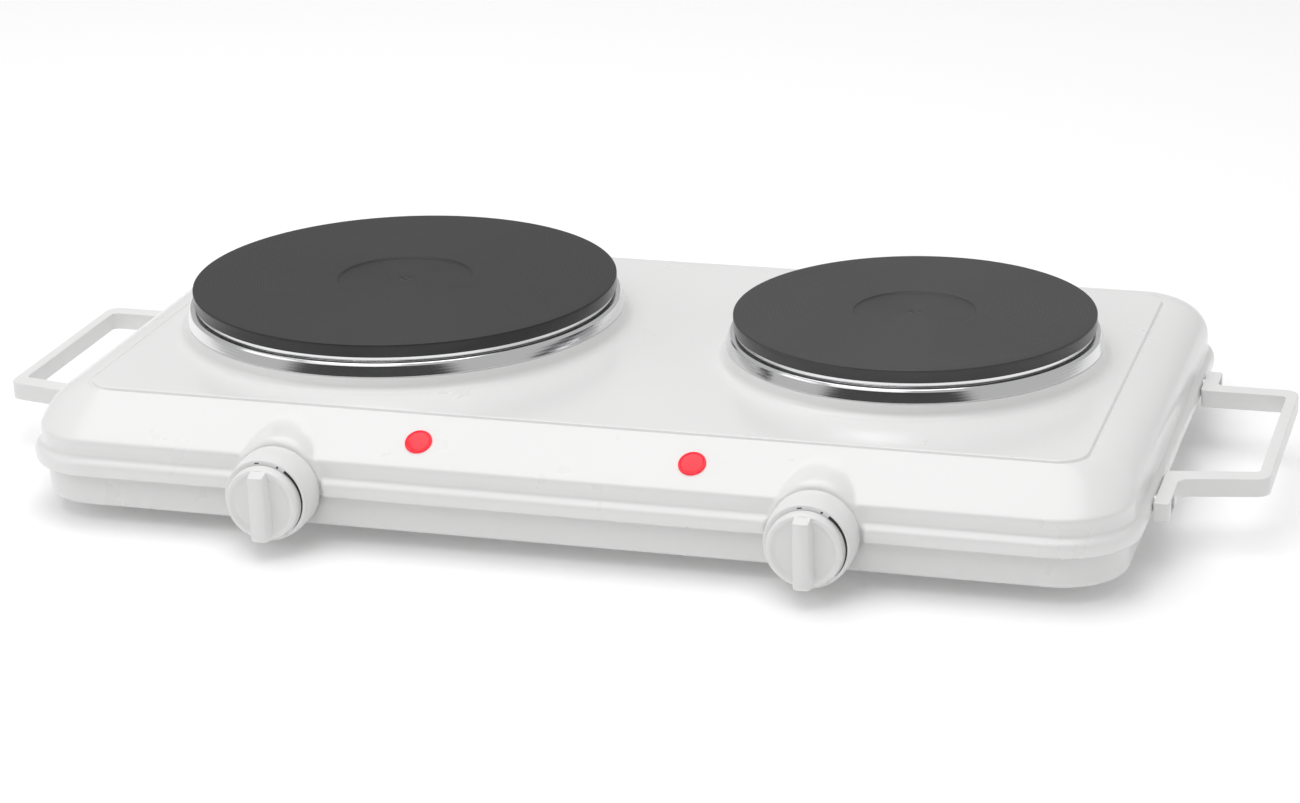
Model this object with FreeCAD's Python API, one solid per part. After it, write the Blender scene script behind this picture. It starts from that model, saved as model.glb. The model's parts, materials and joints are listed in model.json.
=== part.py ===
import FreeCAD, Part
import math
import os

V = FreeCAD.Vector

# Free-standing double electric hotplate.  Millimetres, +X to the user's right, +Y to the
# back, +Z up.  The origin lies on the table, under the middle of the whole object.

# Levels
FOOT_H = 8.0
LIP_Z = 22.7
BEAD_Z = 26.3
SKIRT_Z = 31.4
EDGE_Z = 37.4
DECK_Z = 53.0
COLLAR_TOP_Z = 59.5
PLATE_TOP_Z = 73.0
SHEET = 0.8

# Plan of the top cover: its upright skirt, and the crease that bounds the raised panel
WALL_X = 234.5
FRONT_Y = -124.0
BACK_Y = 139.0
WALL_R = 30.0
PANEL_X = 214.7
PANEL_FRONT_Y = -99.5
PANEL_BACK_Y = 119.0
PANEL_R = 13.0
PANEL_STEP = 0.8
BEAD_OUT = 3.25
TRAY_IN = 2.0
TRAY_EDGE_R = 2.0

# Cooking plates
PLATE_Y = 14.0
LARGE = {"x": -108.75, "r": 94.0, "recess": 30.5}
SMALL = {"x": 122.1, "r": 77.5, "recess": 26.5}
PLATES = {"large": LARGE, "small": SMALL}
PLATE_EDGE_H = 5.7
PLATE_REBATE = 4.5
PLATE_BOTTOM_Z = 54.5
PLATE_WEB = 7.5
PLATE_SKIRT = 5.0
PLATE_HUB_R = 20.0
RING_FLARE = 3.3
HOLE_IN = 3.0
COLLAR_FOOT = 6.5
COIL_R = 2.2
STUD_R = 2.95
UNDER_COVER_T = 1.1
BAR_T = 2.0
RIB_H = 1.6
TERMINAL_OFFSET_Y = 40.0
PIN_STEPS = (-15, -5, 5, 15)
PIN_R = 1.5

# Knobs and heat controls; each control is placed about its own knob axis
KNOBS = {"left": -116.3, "right": 111.9}
SIDES = {"left": -1, "right": 1}
KNOB_Z = 24.7
HUMP_R = 20.2
HUMP_FLARE = 0.17
HUMP_FACE_Y = -125.0
BEZEL_R = 18.4
BEZEL_FACE_R = 17.6
BEZEL_FACE_Y = -140.5
BEZEL_WALL = 2.0
KNOB_R = 15.6
KNOB_FACE_R = 14.9
KNOB_FACE_Y = -145.5
KNOB_BAR_Y = -150.0
KNOB_BAR_W = 7.0
KNOB_DISH = 2.0
KNOB_GAP = 0.4
SPINDLE_R = 3.0
SPINDLE_FLAT = 2.0
RUNNING_GAP = 0.05
BUSH_R = 5.0
BUSH_END_Y = -131.5
BRACKET_Y = FRONT_Y + TRAY_IN + SHEET
BRACKET_T = 1.2
FLANGE_T = 2.0
CAM_Y = -117.2
CAM_T = 2.6
BLOCK_FRONT_Y = -113.8
BLOCK_BACK_Y = -95.0
BLOCK_HALF_X = 18.0
BLOCK_LOW = -13.0
BRACKET_LOW = -6.5
BLOCK_HIGH = 7.5
TAB_L = 10.0

# Pilot lamps lie square on the sloping front band
LAMP_X = 58.3
LAMP_Y = -112.5
LENS_R = 5.75
LAMP_STEM_R = 4.9

# Handles, on spacers screwed to the tray's side walls
HANDLE_OUT_X = 280.25
HANDLE_IN_X = 238.3
HANDLE_FOOT_T = 6.5
HANDLE_BAR_W = 5.0
HANDLE_ARM_W = 8.0
HANDLE_FRONT_Y = -39.0
HANDLE_BACK_Y = 70.0
HANDLE_SLANT = 7.0
HANDLE_FOOT_FRONT_Y = -75.0
HANDLE_FOOT_BACK_Y = 87.0
HANDLE_Z0 = 21.0
HANDLE_Z1 = 29.0
HANDLE_SCREW_Z = 25.0
HANDLE_SCREW_Y = (-64.0, 79.0)
SPACER_R = 3.3
SCREW_R = 1.95
SCREW_HOLE_R = 2.2

# Feet, tie posts and the cord gland
FOOT_R = 9.0
FOOT_X = 190.0
FOOT_Y = (-79.0, 99.0)
POST_ACROSS = 8.0
GLAND_X = 60.0
GLAND_Z = 17.0
GLAND_END_Y = 150.0
CORD_HOLE_R = 3.75
MAINS_Y = 101.0
MAINS_STEPS = (-11, 0, 11)
WIRE_R = 1.1
WIRE_BEND = 6.0

DECK_UNDER_Z = DECK_Z - SHEET
HOLE_LIP_Z = DECK_UNDER_Z - 2.0
RIM_UNDER_Z = PLATE_TOP_Z - PLATE_EDGE_H
BAND_SLOPE = math.atan2(DECK_Z - EDGE_Z, PANEL_FRONT_Y - FRONT_Y)


# ---------------------------------------------------------------- shape helpers

def box(x0, x1, y0, y1, z0, z1):
    return Part.makeBox(x1 - x0, y1 - y0, z1 - z0, V(x0, y0, z0))


def cyl_z(x, y, z0, z1, r):
    return Part.makeCylinder(r, z1 - z0, V(x, y, z0), V(0, 0, 1))


def cyl_y(x, z, y0, y1, r):
    return Part.makeCylinder(r, y1 - y0, V(x, y0, z), V(0, 1, 0))


def cyl_x(y, z, x0, x1, r):
    return Part.makeCylinder(r, x1 - x0, V(x0, y, z), V(1, 0, 0))


def ring_z(x, y, z0, z1, outer, inner):
    return cyl_z(x, y, z0, z1, outer).cut(cyl_z(x, y, z0, z1, inner))


def hexagon(across, height):
    """Hexagonal prism standing on the origin, across the flats."""
    corner = across / math.sqrt(3.0)
    turns = [math.radians(60 * k) for k in range(7)]
    points = [V(corner * math.cos(a), corner * math.sin(a), 0) for a in turns]
    return Part.Face(Part.makePolygon(points)).extrude(V(0, 0, height))


def hex_z(x, y, z0, z1, across):
    prism = hexagon(across, z1 - z0)
    prism.translate(V(x, y, z0))
    return prism


def turned(outline, axis, place):
    """Solid of revolution: outline is a list of (radius, station along the axis)."""
    if axis == "z":
        points = [V(r, 0, s) for r, s in outline]
        direction = V(0, 0, 1)
    else:
        points = [V(r, s, 0) for r, s in outline]
        direction = V(0, 1, 0)
    face = Part.Face(Part.makePolygon(points + points[:1]))
    solid = face.revolve(V(0, 0, 0), direction, 360)
    solid.translate(place)
    return solid


def rounded_wire(corners, z):
    """Closed wire at height z; corners is a list of (x, y, radius) in order."""
    points = [V(x, y, z) for x, y, _ in corners]
    count = len(points)
    edges = []
    ends = []
    for k in range(count):
        here = points[k]
        before = (points[k - 1] - here).normalize()
        after = (points[(k + 1) % count] - here).normalize()
        radius = corners[k][2]
        half = before.getAngle(after) / 2.0
        reach = radius / math.tan(half)
        start = here + before * reach
        end = here + after * reach
        middle = (before + after).normalize()
        centre = here + middle * (radius / math.sin(half))
        edges.append(Part.Arc(start, centre - middle * radius, end).toShape())
        ends.append((start, end))
    for k in range(count):
        edges.append(Part.makeLine(ends[k][1], ends[(k + 1) % count][0]))
    return Part.Wire(Part.__sortEdges__(edges))


def rounded_rectangle(half_x, y0, y1, radius, z):
    corners = [(-half_x, y0, radius), (half_x, y0, radius), (half_x, y1, radius), (-half_x, y1, radius)]
    return rounded_wire(corners, z)


def rounded_slab(x0, x1, y0, y1, radius, z0, z1):
    corners = [(x0, y0, radius), (x1, y0, radius), (x1, y1, radius), (x0, y1, radius)]
    return Part.Face(rounded_wire(corners, z0)).extrude(V(0, 0, z1 - z0))


def fuse_all(shapes):
    return shapes[0].multiFuse(shapes[1:]).removeSplitter()


def cut_all(shape, tools):
    return shape.cut(Part.makeCompound(tools))


def section_face(steps):
    """Face in the XZ plane.  The first step is the starting point; each later one is an end
    point (u, z), or a pair of points for an arc: one on the way and its end."""
    here = V(steps[0][0], 0, steps[0][1])
    first = here
    edges = []
    for step in steps[1:]:
        if isinstance(step[0], tuple):
            via, end = [V(u, 0, z) for u, z in step]
            edges.append(Part.Arc(here, via, end).toShape())
        else:
            end = V(step[0], 0, step[1])
            edges.append(Part.makeLine(here, end))
        here = end
    edges.append(Part.makeLine(here, first))
    return Part.Face(Part.Wire(edges))


def turned_section(steps, place):
    solid = section_face(steps).revolve(V(0, 0, 0), V(0, 0, 1), 360)
    solid.translate(place)
    return solid


def around_housing(steps):
    """Solid whose rim is a section, measured outward from the corners' axes, carried all round."""
    face = section_face(steps)
    cx = WALL_X - WALL_R
    cy0 = FRONT_Y + WALL_R
    cy1 = BACK_Y - WALL_R
    axes = [V(cx, cy1, 0), V(-cx, cy1, 0), V(-cx, cy0, 0), V(cx, cy0, 0)]
    pieces = []
    for k in range(4):
        corner = face.copy()
        corner.rotate(V(0, 0, 0), V(0, 0, 1), 90 * k)
        corner.translate(axes[k])
        pieces.append(corner.revolve(axes[k], V(0, 0, 1), 90))
        side = face.copy()
        side.rotate(V(0, 0, 0), V(0, 0, 1), 90 * (k + 1))
        side.translate(axes[k])
        pieces.append(side.extrude(axes[(k + 1) % 4] - axes[k]))
    core = box(-cx, cx, cy0, cy1, face.BoundBox.ZMin, face.BoundBox.ZMax)
    return fuse_all(pieces + [core])


def bent_tube(points, radius, bend):
    """Round tube along straight runs joined by tangent arcs."""
    knots = [V(*p) for p in points]
    edges = []
    start = knots[0]
    for k in range(1, len(knots) - 1):
        before = (knots[k - 1] - knots[k]).normalize()
        after = (knots[k + 1] - knots[k]).normalize()
        half = before.getAngle(after) / 2.0
        reach = bend / math.tan(half)
        middle = (before + after).normalize()
        centre = knots[k] + middle * (bend / math.sin(half))
        enter = knots[k] + before * reach
        leave = knots[k] + after * reach
        edges.append(Part.makeLine(start, enter))
        edges.append(Part.Arc(enter, centre - middle * bend, leave).toShape())
        start = leave
    edges.append(Part.makeLine(start, knots[-1]))
    circle = Part.Wire(Part.makeCircle(radius, knots[0], knots[1] - knots[0]))
    return Part.Wire(edges).makePipeShell([circle], True, False)


def mirrored(shape, sign):
    return shape if sign > 0 else shape.mirror(V(0, 0, 0), V(1, 0, 0))


# ---------------------------------------------------------------- top cover

SHOULDER_SECTIONS = 7


def shoulder(inset):
    """Band between crease and skirt: a straight slope in front, a round shoulder elsewhere."""
    wires = []
    for k in range(SHOULDER_SECTIONS):
        turn = math.radians(90.0 * k / (SHOULDER_SECTIONS - 1))
        out = math.sin(turn)
        z = EDGE_Z + (DECK_Z - PANEL_STEP - EDGE_Z) * math.cos(turn) - inset * math.cos(turn)
        side = (WALL_X - PANEL_X) * out - inset * out
        drop = (DECK_Z - z) / math.tan(BAND_SLOPE)
        front = max(PANEL_FRONT_Y - drop, FRONT_Y) + inset / math.sin(BAND_SLOPE)
        radius = PANEL_R + (WALL_R - PANEL_R) * out
        wires.append(rounded_rectangle(PANEL_X + side, front, PANEL_BACK_Y + side, radius, z))
    return Part.makeLoft(wires, True, False)


def skirt_and_bead(inset):
    """Upright skirt that swells into a bead above the lip; inset thins it for the inside."""
    r = WALL_R - inset
    bead = r + BEAD_OUT
    low = LIP_Z - inset
    steps = [(0.0, low), (bead - 0.5, low), ((bead, BEAD_Z), (bead - 1.4, BEAD_Z + 2.9)),
             ((r + 0.5, SKIRT_Z - 1.5), (r, SKIRT_Z)), (r, EDGE_Z), (0.0, EDGE_Z)]
    return around_housing(steps)


def hump(x, inset):
    """Half-round pressing that carries the cover forward round a bezel, widening to the rear."""
    radius = HUMP_R - inset
    face = HUMP_FACE_Y + inset
    length = PANEL_FRONT_Y - face
    bar = Part.makeCone(radius, radius + HUMP_FLARE * length, length, V(x, face, KNOB_Z), V(0, 1, 0))
    low = LIP_Z - inset
    return bar.common(box(x - 30, x + 30, face, PANEL_FRONT_Y, low, DECK_Z))


def collar(plate):
    """Neck of the cover that carries a plate: upright side, flat top, turned-down inner lip."""
    hole = plate["r"] - HOLE_IN
    top = plate["r"] + RING_FLARE
    foot = plate["r"] + COLLAR_FOOT
    steps = [
        (hole, HOLE_LIP_Z), (hole, COLLAR_TOP_Z), (top - 0.8, COLLAR_TOP_Z),
        ((top - 0.25, COLLAR_TOP_Z - 0.25), (top, COLLAR_TOP_Z - 0.8)),
        (top + 0.5, DECK_Z + 2.6),
        ((top + 1.4, DECK_Z + 0.75), (foot, DECK_Z)),
        (foot, DECK_UNDER_Z), (top - 0.3, DECK_UNDER_Z), (top - SHEET, COLLAR_TOP_Z - SHEET),
        (hole + SHEET, COLLAR_TOP_Z - SHEET), (hole + SHEET, HOLE_LIP_Z),
    ]
    return turned_section(steps, V(plate["x"], PLATE_Y, 0))


def raised_panel():
    panel = rounded_slab(-PANEL_X, PANEL_X, PANEL_FRONT_Y, PANEL_BACK_Y, PANEL_R,
                         DECK_Z - PANEL_STEP - SHEET, DECK_Z)
    rims = [e for e in panel.Edges if e.BoundBox.ZMin > DECK_Z - 0.01]
    return panel.makeChamfer(PANEL_STEP - 0.1, rims)


def lamp_cylinder(x, below, above, radius):
    """Cylinder square to the front band, from below its surface to above it."""
    axis = V(0, -math.sin(BAND_SLOPE), math.cos(BAND_SLOPE))
    surface_z = EDGE_Z + (LAMP_Y - FRONT_Y) * math.tan(BAND_SLOPE)
    base = V(x, LAMP_Y, surface_z) - axis * below
    return Part.makeCylinder(radius, below + above, base, axis)


def screw_line(sign, y, x0, x1, radius):
    """Cylinder along a handle screw, between two distances from the middle plane."""
    return mirrored(cyl_x(y, HANDLE_SCREW_Z, x0, x1, radius), sign)


def top_cover():
    pad_cuts = [cyl_y(x, KNOB_Z, HUMP_FACE_Y - 5, HUMP_FACE_Y, HUMP_R) for x in KNOBS.values()]
    skirt = cut_all(skirt_and_bead(0.0), pad_cuts)
    outside = fuse_all([skirt, shoulder(0.0), raised_panel()] + [hump(x, 0.0) for x in KNOBS.values()])
    panel_inside = rounded_slab(-PANEL_X + 2, PANEL_X - 2, PANEL_FRONT_Y + 2, PANEL_BACK_Y - 2, PANEL_R,
                                DECK_UNDER_Z - 6, DECK_UNDER_Z)
    inside = fuse_all([skirt_and_bead(SHEET), shoulder(SHEET), panel_inside])
    cuts = [inside] + [hump(x, SHEET) for x in KNOBS.values()]
    cuts += [cyl_z(p["x"], PLATE_Y, DECK_UNDER_Z - 5, PLATE_TOP_Z, p["r"] + COLLAR_FOOT - 1.5)
             for p in PLATES.values()]
    body = cut_all(outside, cuts)
    body = fuse_all([body] + [collar(p) for p in PLATES.values()])
    holes = [cyl_y(x, KNOB_Z, HUMP_FACE_Y - 2, FRONT_Y + 4, BUSH_R + 0.3) for x in KNOBS.values()]
    for sign in SIDES.values():
        holes.append(lamp_cylinder(sign * LAMP_X, 5, 5, LAMP_STEM_R + 0.1))
        holes += [screw_line(sign, y, WALL_X - 3, HANDLE_IN_X, SPACER_R + 0.3) for y in HANDLE_SCREW_Y]
    return cut_all(body, holes)


# ---------------------------------------------------------------- base tray and what it stands on

def tray_shell(inset):
    r = WALL_R - TRAY_IN - inset
    low = FOOT_H + inset
    turn = TRAY_EDGE_R - inset
    diagonal = turn * (1 - math.sqrt(0.5))
    steps = [(0.0, low), (r - turn, low), ((r - diagonal, low + diagonal), (r, low + turn)),
             (r, SKIRT_Z + 1), (0.0, SKIRT_Z + 1)]
    return around_housing(steps)


def cooling_slots():
    """Rows of slots in the floor under each plate."""
    slots = []
    for plate in PLATES.values():
        for row in range(-2, 3):
            for side in (-1, 1):
                x = plate["x"] + side * 26
                y = PLATE_Y + row * 16
                slots.append(rounded_slab(x - 16, x + 16, y - 2, y + 2, 1.9, FOOT_H - 1, FOOT_H + 2))
    return slots


def base_tray():
    shell = tray_shell(0.0).cut(tray_shell(SHEET))
    holes = cooling_slots() + [cord_gland()]
    holes += [cyl_z(x, y, 0, 20, SCREW_HOLE_R) for x, y in foot_places()]
    holes += [cyl_y(x, KNOB_Z, FRONT_Y - 2, FRONT_Y + 6, BUSH_R + 0.3) for x in KNOBS.values()]
    for sign in SIDES.values():
        holes += [screw_line(sign, y, WALL_X - 6, WALL_X, SCREW_HOLE_R) for y in HANDLE_SCREW_Y]
    holes.append(cyl_y(GLAND_X, GLAND_Z, BACK_Y - 10, BACK_Y, CORD_HOLE_R))
    return cut_all(shell, holes)


def foot_places():
    return [(x, y) for x in (-FOOT_X, FOOT_X) for y in FOOT_Y]


def tie_posts():
    """Hexagonal posts hung from the deck; the tray and the feet are screwed to them."""
    posts = []
    for x, y in foot_places():
        post = hex_z(x, y, FOOT_H + SHEET, DECK_UNDER_Z, POST_ACROSS)
        posts.append(post.cut(cyl_z(x, y, 0, 30, 2.0)))
    return Part.makeCompound(posts)


def rubber_feet():
    recess = 4.2
    outline = [(recess, 0), (FOOT_R - 1.6, 0), (FOOT_R - 0.9, 0.7), (FOOT_R, FOOT_H),
               (SCREW_HOLE_R, FOOT_H), (SCREW_HOLE_R, 4.0), (recess, 4.0)]
    return Part.makeCompound([turned(outline, "z", V(x, y, 0)) for x, y in foot_places()])


def foot_screws():
    screws = []
    for x, y in foot_places():
        head = cyl_z(x, y, 1.6, 4.0, 3.7).cut(box(x - 3, x + 3, y - 0.4, y + 0.4, 1, 2.4))
        screws.append(fuse_all([head, cyl_z(x, y, 4.0, 26, SCREW_R)]))
    return Part.makeCompound(screws)


# ---------------------------------------------------------------- cooking plates

def cooking_plate(plate):
    """Iron disc with a rim, a rebated skirt and a hub for the stud."""
    r = plate["r"]
    body = r - PLATE_REBATE
    web = PLATE_TOP_Z - PLATE_WEB
    outline = [
        (0, PLATE_TOP_Z - 1.3), (2.6, PLATE_TOP_Z - 1.0), (3.4, PLATE_TOP_Z - 0.6),
        (plate["recess"] - 0.8, PLATE_TOP_Z - 0.6), (plate["recess"], PLATE_TOP_Z),
        (r - 0.9, PLATE_TOP_Z), (r, PLATE_TOP_Z - 0.9), (r, RIM_UNDER_Z),
        (body, RIM_UNDER_Z), (body, PLATE_BOTTOM_Z),
        (body - PLATE_SKIRT, PLATE_BOTTOM_Z), (body - PLATE_SKIRT, web),
        (PLATE_HUB_R, web), (PLATE_HUB_R, PLATE_BOTTOM_Z), (0, PLATE_BOTTOM_Z),
    ]
    solid = turned(outline, "z", V(plate["x"], PLATE_Y, 0))
    return solid.cut(cyl_z(plate["x"], PLATE_Y, PLATE_BOTTOM_Z - 1, PLATE_BOTTOM_Z + 9, STUD_R))


def coil_channel(plate):
    """Inner and outer radius of the ring channel under a plate."""
    return PLATE_HUB_R, plate["r"] - PLATE_REBATE - PLATE_SKIRT


def heating_coils(plate):
    """Concentric turns of sheathed element."""
    inner, outer = coil_channel(plate)
    first = inner + 9.0
    step = (outer - 8.0 - first) / 3.0
    level = PLATE_BOTTOM_Z + 3.4
    turns = [Part.makeTorus(first + step * k, COIL_R, V(plate["x"], PLATE_Y, level)) for k in range(4)]
    return Part.makeCompound(turns)


def coil_bed(plate):
    """Refractory ring that the turns are pressed into."""
    inner, outer = coil_channel(plate)
    web = PLATE_TOP_Z - PLATE_WEB
    return ring_z(plate["x"], PLATE_Y, PLATE_BOTTOM_Z, web, outer, inner).cut(heating_coils(plate))


def under_cover(plate):
    outer = plate["r"] - PLATE_REBATE - 0.4
    return ring_z(plate["x"], PLATE_Y, PLATE_BOTTOM_Z - UNDER_COVER_T, PLATE_BOTTOM_Z, outer, 3.3)


def trim_ring(plate):
    """Bright ring: a neck under the plate's rim, a round shoulder and a wall down to the collar."""
    r = plate["r"]
    top = RIM_UNDER_Z
    foot = r + RING_FLARE
    low = COLLAR_TOP_Z
    steps = [
        (r - PLATE_REBATE + 0.3, top - 0.8), (r - PLATE_REBATE + 0.3, top), (r - 1.3, top),
        (r - 1.2, top - 1.9), (r + 1.0, top - 1.9),
        ((r + 1.7, top - 2.2), (r + 2.0, top - 3.0)), (foot, low),
        (foot - 1.0, low), (r + 1.1, top - 3.0), (r - 2.1, top - 2.7), (r - 2.1, top - 0.8),
    ]
    return turned_section(steps, V(plate["x"], PLATE_Y, 0))


def clamp_bar(plate):
    """Ribbed strip across the hole, which draws the plate down onto its ring."""
    x = plate["x"]
    reach = plate["r"] + 1.0
    top = HOLE_LIP_Z
    bar = rounded_slab(x - reach, x + reach, PLATE_Y - 10, PLATE_Y + 10, 3.0, top - BAR_T, top)
    rib = rounded_slab(x - reach + 8, x + reach - 8, PLATE_Y - 3, PLATE_Y + 3, 2.0,
                       top - BAR_T - RIB_H, top - BAR_T)
    return fuse_all([bar, rib]).cut(cyl_z(x, PLATE_Y, 40, 60, STUD_R + 0.2))


RIB_UNDER_Z = HOLE_LIP_Z - BAR_T - RIB_H
WASHER_T = 1.2
NUT_T = 5.0


def plate_studs():
    studs = [cyl_z(p["x"], PLATE_Y, RIB_UNDER_Z - 12, PLATE_BOTTOM_Z + 9, STUD_R) for p in PLATES.values()]
    return Part.makeCompound(studs)


def stud_washers():
    rings = [ring_z(p["x"], PLATE_Y, RIB_UNDER_Z - WASHER_T, RIB_UNDER_Z, 7.0, STUD_R + 0.2)
             for p in PLATES.values()]
    return Part.makeCompound(rings)


def stud_nuts():
    top = RIB_UNDER_Z - WASHER_T
    nuts = []
    for plate in PLATES.values():
        nut = hex_z(plate["x"], PLATE_Y, top - NUT_T, top, 10.0)
        nuts.append(nut.cut(cyl_z(plate["x"], PLATE_Y, 30, 60, STUD_R)))
    return Part.makeCompound(nuts)


TERMINAL_Y = PLATE_Y + TERMINAL_OFFSET_Y
TERMINAL_TOP_Z = PLATE_BOTTOM_Z - UNDER_COVER_T
TERMINAL_H = 12.0
PIN_END_Z = TERMINAL_TOP_Z - TERMINAL_H - 6.0


def plate_terminal(plate):
    """Ceramic block under a plate, with a hole for each pin."""
    x = plate["x"]
    block = rounded_slab(x - 21, x + 21, TERMINAL_Y - 9, TERMINAL_Y + 9, 2.5,
                         TERMINAL_TOP_Z - TERMINAL_H, TERMINAL_TOP_Z)
    return cut_all(block, [cyl_z(x + step, TERMINAL_Y, 30, 60, PIN_R) for step in PIN_STEPS])


def terminal_pins():
    pins = []
    for plate in PLATES.values():
        for step in PIN_STEPS:
            pins.append(cyl_z(plate["x"] + step, TERMINAL_Y, PIN_END_Z, TERMINAL_TOP_Z, PIN_R))
    return Part.makeCompound(pins)


# ---------------------------------------------------------------- knobs and heat controls

def knob_bezel(x):
    """Round plastic bezel: skirt, front face and a short hub that centres on the bush."""
    inside = BEZEL_FACE_Y + BEZEL_WALL
    hub_end = BUSH_END_Y + 3.0
    outline = [(BEZEL_R - BEZEL_WALL, HUMP_FACE_Y), (BEZEL_R, HUMP_FACE_Y),
               (BEZEL_FACE_R + 0.1, BEZEL_FACE_Y + 0.8), (BEZEL_FACE_R - 0.15, BEZEL_FACE_Y + 0.25),
               (BEZEL_FACE_R - 0.7, BEZEL_FACE_Y), (SPINDLE_R + 0.6, BEZEL_FACE_Y),
               (SPINDLE_R + 0.6, inside), (BUSH_R + 0.1, inside), (BUSH_R + 0.1, hub_end),
               (BUSH_R + 1.8, hub_end), (BUSH_R + 1.8, inside), (BEZEL_FACE_R - BEZEL_WALL, inside)]
    return turned(outline, "y", V(x, 0, KNOB_Z))


def knob_grip(x):
    """Upright bar across the knob, with round ends and eased edges."""
    half = KNOB_BAR_W / 2.0
    root = KNOB_FACE_Y + KNOB_DISH + 0.2
    profile = [(x - half, root), (x - half + 0.4, KNOB_BAR_Y + 0.9), (x - half + 1.3, KNOB_BAR_Y),
               (x + half - 1.3, KNOB_BAR_Y), (x + half - 0.4, KNOB_BAR_Y + 0.9), (x + half, root)]
    low = KNOB_Z - KNOB_R
    points = [V(px, py, low) for px, py in profile]
    bar = Part.Face(Part.makePolygon(points + points[:1])).extrude(V(0, 0, 2 * KNOB_R))
    ends = turned([(0, root), (KNOB_R - 0.2, root), (KNOB_FACE_R - 0.4, KNOB_BAR_Y + 1.4),
                   (KNOB_FACE_R - 1.6, KNOB_BAR_Y), (0, KNOB_BAR_Y)], "y", V(x, 0, KNOB_Z))
    return bar.common(ends)


def knob(x):
    """Dished disc with a grip bar and a D-shaped bore with room for the clip."""
    back = BEZEL_FACE_Y - KNOB_GAP
    disc = turned([(0, back), (KNOB_R, back), (KNOB_FACE_R + 0.25, KNOB_FACE_Y + 0.9),
                   (KNOB_FACE_R - 0.1, KNOB_FACE_Y + 0.25), (KNOB_FACE_R - 0.8, KNOB_FACE_Y),
                   (KNOB_FACE_R - 1.6, KNOB_FACE_Y), (KNOB_FACE_R - 3.0, KNOB_FACE_Y + 1.1),
                   (5.0, KNOB_FACE_Y + KNOB_DISH), (0, KNOB_FACE_Y + KNOB_DISH)], "y", V(x, 0, KNOB_Z))
    bore_end = KNOB_FACE_Y - 2.0
    flat_z = KNOB_Z + SPINDLE_FLAT
    bore = cyl_y(x, KNOB_Z, bore_end, back, SPINDLE_R)
    bore = bore.cut(box(x - 4, x + 4, bore_end, back, flat_z, flat_z + 4))
    room = box(x - 2.3, x + 2.3, bore_end + 1.0, back, flat_z, flat_z + 1.1)
    return cut_all(fuse_all([disc, knob_grip(x)]), [bore, room])


def knob_clip(x):
    """Spring leaf between the spindle's flat and the knob's hub."""
    flat_z = KNOB_Z + SPINDLE_FLAT
    return box(x - 2.1, x + 2.1, KNOB_FACE_Y - 0.8, BEZEL_FACE_Y - KNOB_GAP - 0.2, flat_z, flat_z + 0.8)


def spindle(x):
    """Shaft with a flat at its front end and the cam that works the contacts."""
    shaft = cyl_y(x, KNOB_Z, KNOB_FACE_Y - 1.9, BLOCK_FRONT_Y + 4.5, SPINDLE_R)
    flat_z = KNOB_Z + SPINDLE_FLAT
    flat = box(x - 4, x + 4, KNOB_FACE_Y - 3, BEZEL_FACE_Y - KNOB_GAP, flat_z, flat_z + 4)
    cam = cyl_y(x, KNOB_Z, CAM_Y, CAM_Y + CAM_T, 6.0)
    lobe = cyl_y(x, KNOB_Z + 2.5, CAM_Y, CAM_Y + CAM_T, 4.3)
    return fuse_all([shaft.cut(flat), cam, lobe])


def control_bush(x):
    """Threaded bush; its flange holds the bracket, and the nut in front holds the walls."""
    bore = SPINDLE_R + RUNNING_GAP
    flange = BRACKET_Y + BRACKET_T
    outline = [(bore, BUSH_END_Y), (BUSH_R, BUSH_END_Y), (BUSH_R, flange), (9.0, flange),
               (9.0, flange + FLANGE_T), (bore, flange + FLANGE_T)]
    return turned(outline, "y", V(x, 0, KNOB_Z))


def bush_nuts():
    nuts = []
    for x in KNOBS.values():
        nut = hexagon(14.0, 2.4).cut(cyl_z(0, 0, -1, 5, BUSH_R))
        nut.rotate(V(0, 0, 0), V(1, 0, 0), 90)
        nut.translate(V(x, HUMP_FACE_Y, KNOB_Z))
        nuts.append(nut)
    return Part.makeCompound(nuts)


def control_bracket(x):
    """Steel plate behind the front wall, bent back over the control."""
    back = BRACKET_Y + BRACKET_T
    low = KNOB_Z + BRACKET_LOW
    top = KNOB_Z + BLOCK_HIGH + 3.2
    face = box(x - 22, x + 22, BRACKET_Y, back, low, top)
    roof = box(x - 22, x + 22, back, BLOCK_BACK_Y - 3, top - BRACKET_T, top)
    return fuse_all([face, roof]).cut(cyl_y(x, KNOB_Z, BRACKET_Y - 1, back + 1, BUSH_R))


def control_body(x):
    """Ceramic block that carries the contacts, on two legs that stand off the bracket."""
    low = KNOB_Z + BLOCK_LOW
    block = box(x - BLOCK_HALF_X, x + BLOCK_HALF_X, BLOCK_FRONT_Y, BLOCK_BACK_Y, low, KNOB_Z + BLOCK_HIGH)
    stand = BRACKET_Y + BRACKET_T
    foot = KNOB_Z + BRACKET_LOW
    legs = []
    for middle in (x - 15.5, x + 15.5):
        legs.append(box(middle - 2.5, middle + 2.5, stand, BLOCK_FRONT_Y, foot, foot + 5))
    journal = cyl_y(x, KNOB_Z, BLOCK_FRONT_Y - 1, BLOCK_FRONT_Y + 5.5, SPINDLE_R + RUNNING_GAP)
    return fuse_all([block] + legs).cut(journal)


def bimetal(x):
    """Bimetal strip on the block, reaching forward over the cam."""
    rest = KNOB_Z + BLOCK_HIGH
    return box(x - 5, x + 5, CAM_Y - 0.4, BLOCK_BACK_Y - 1, rest, rest + 0.9)


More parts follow.
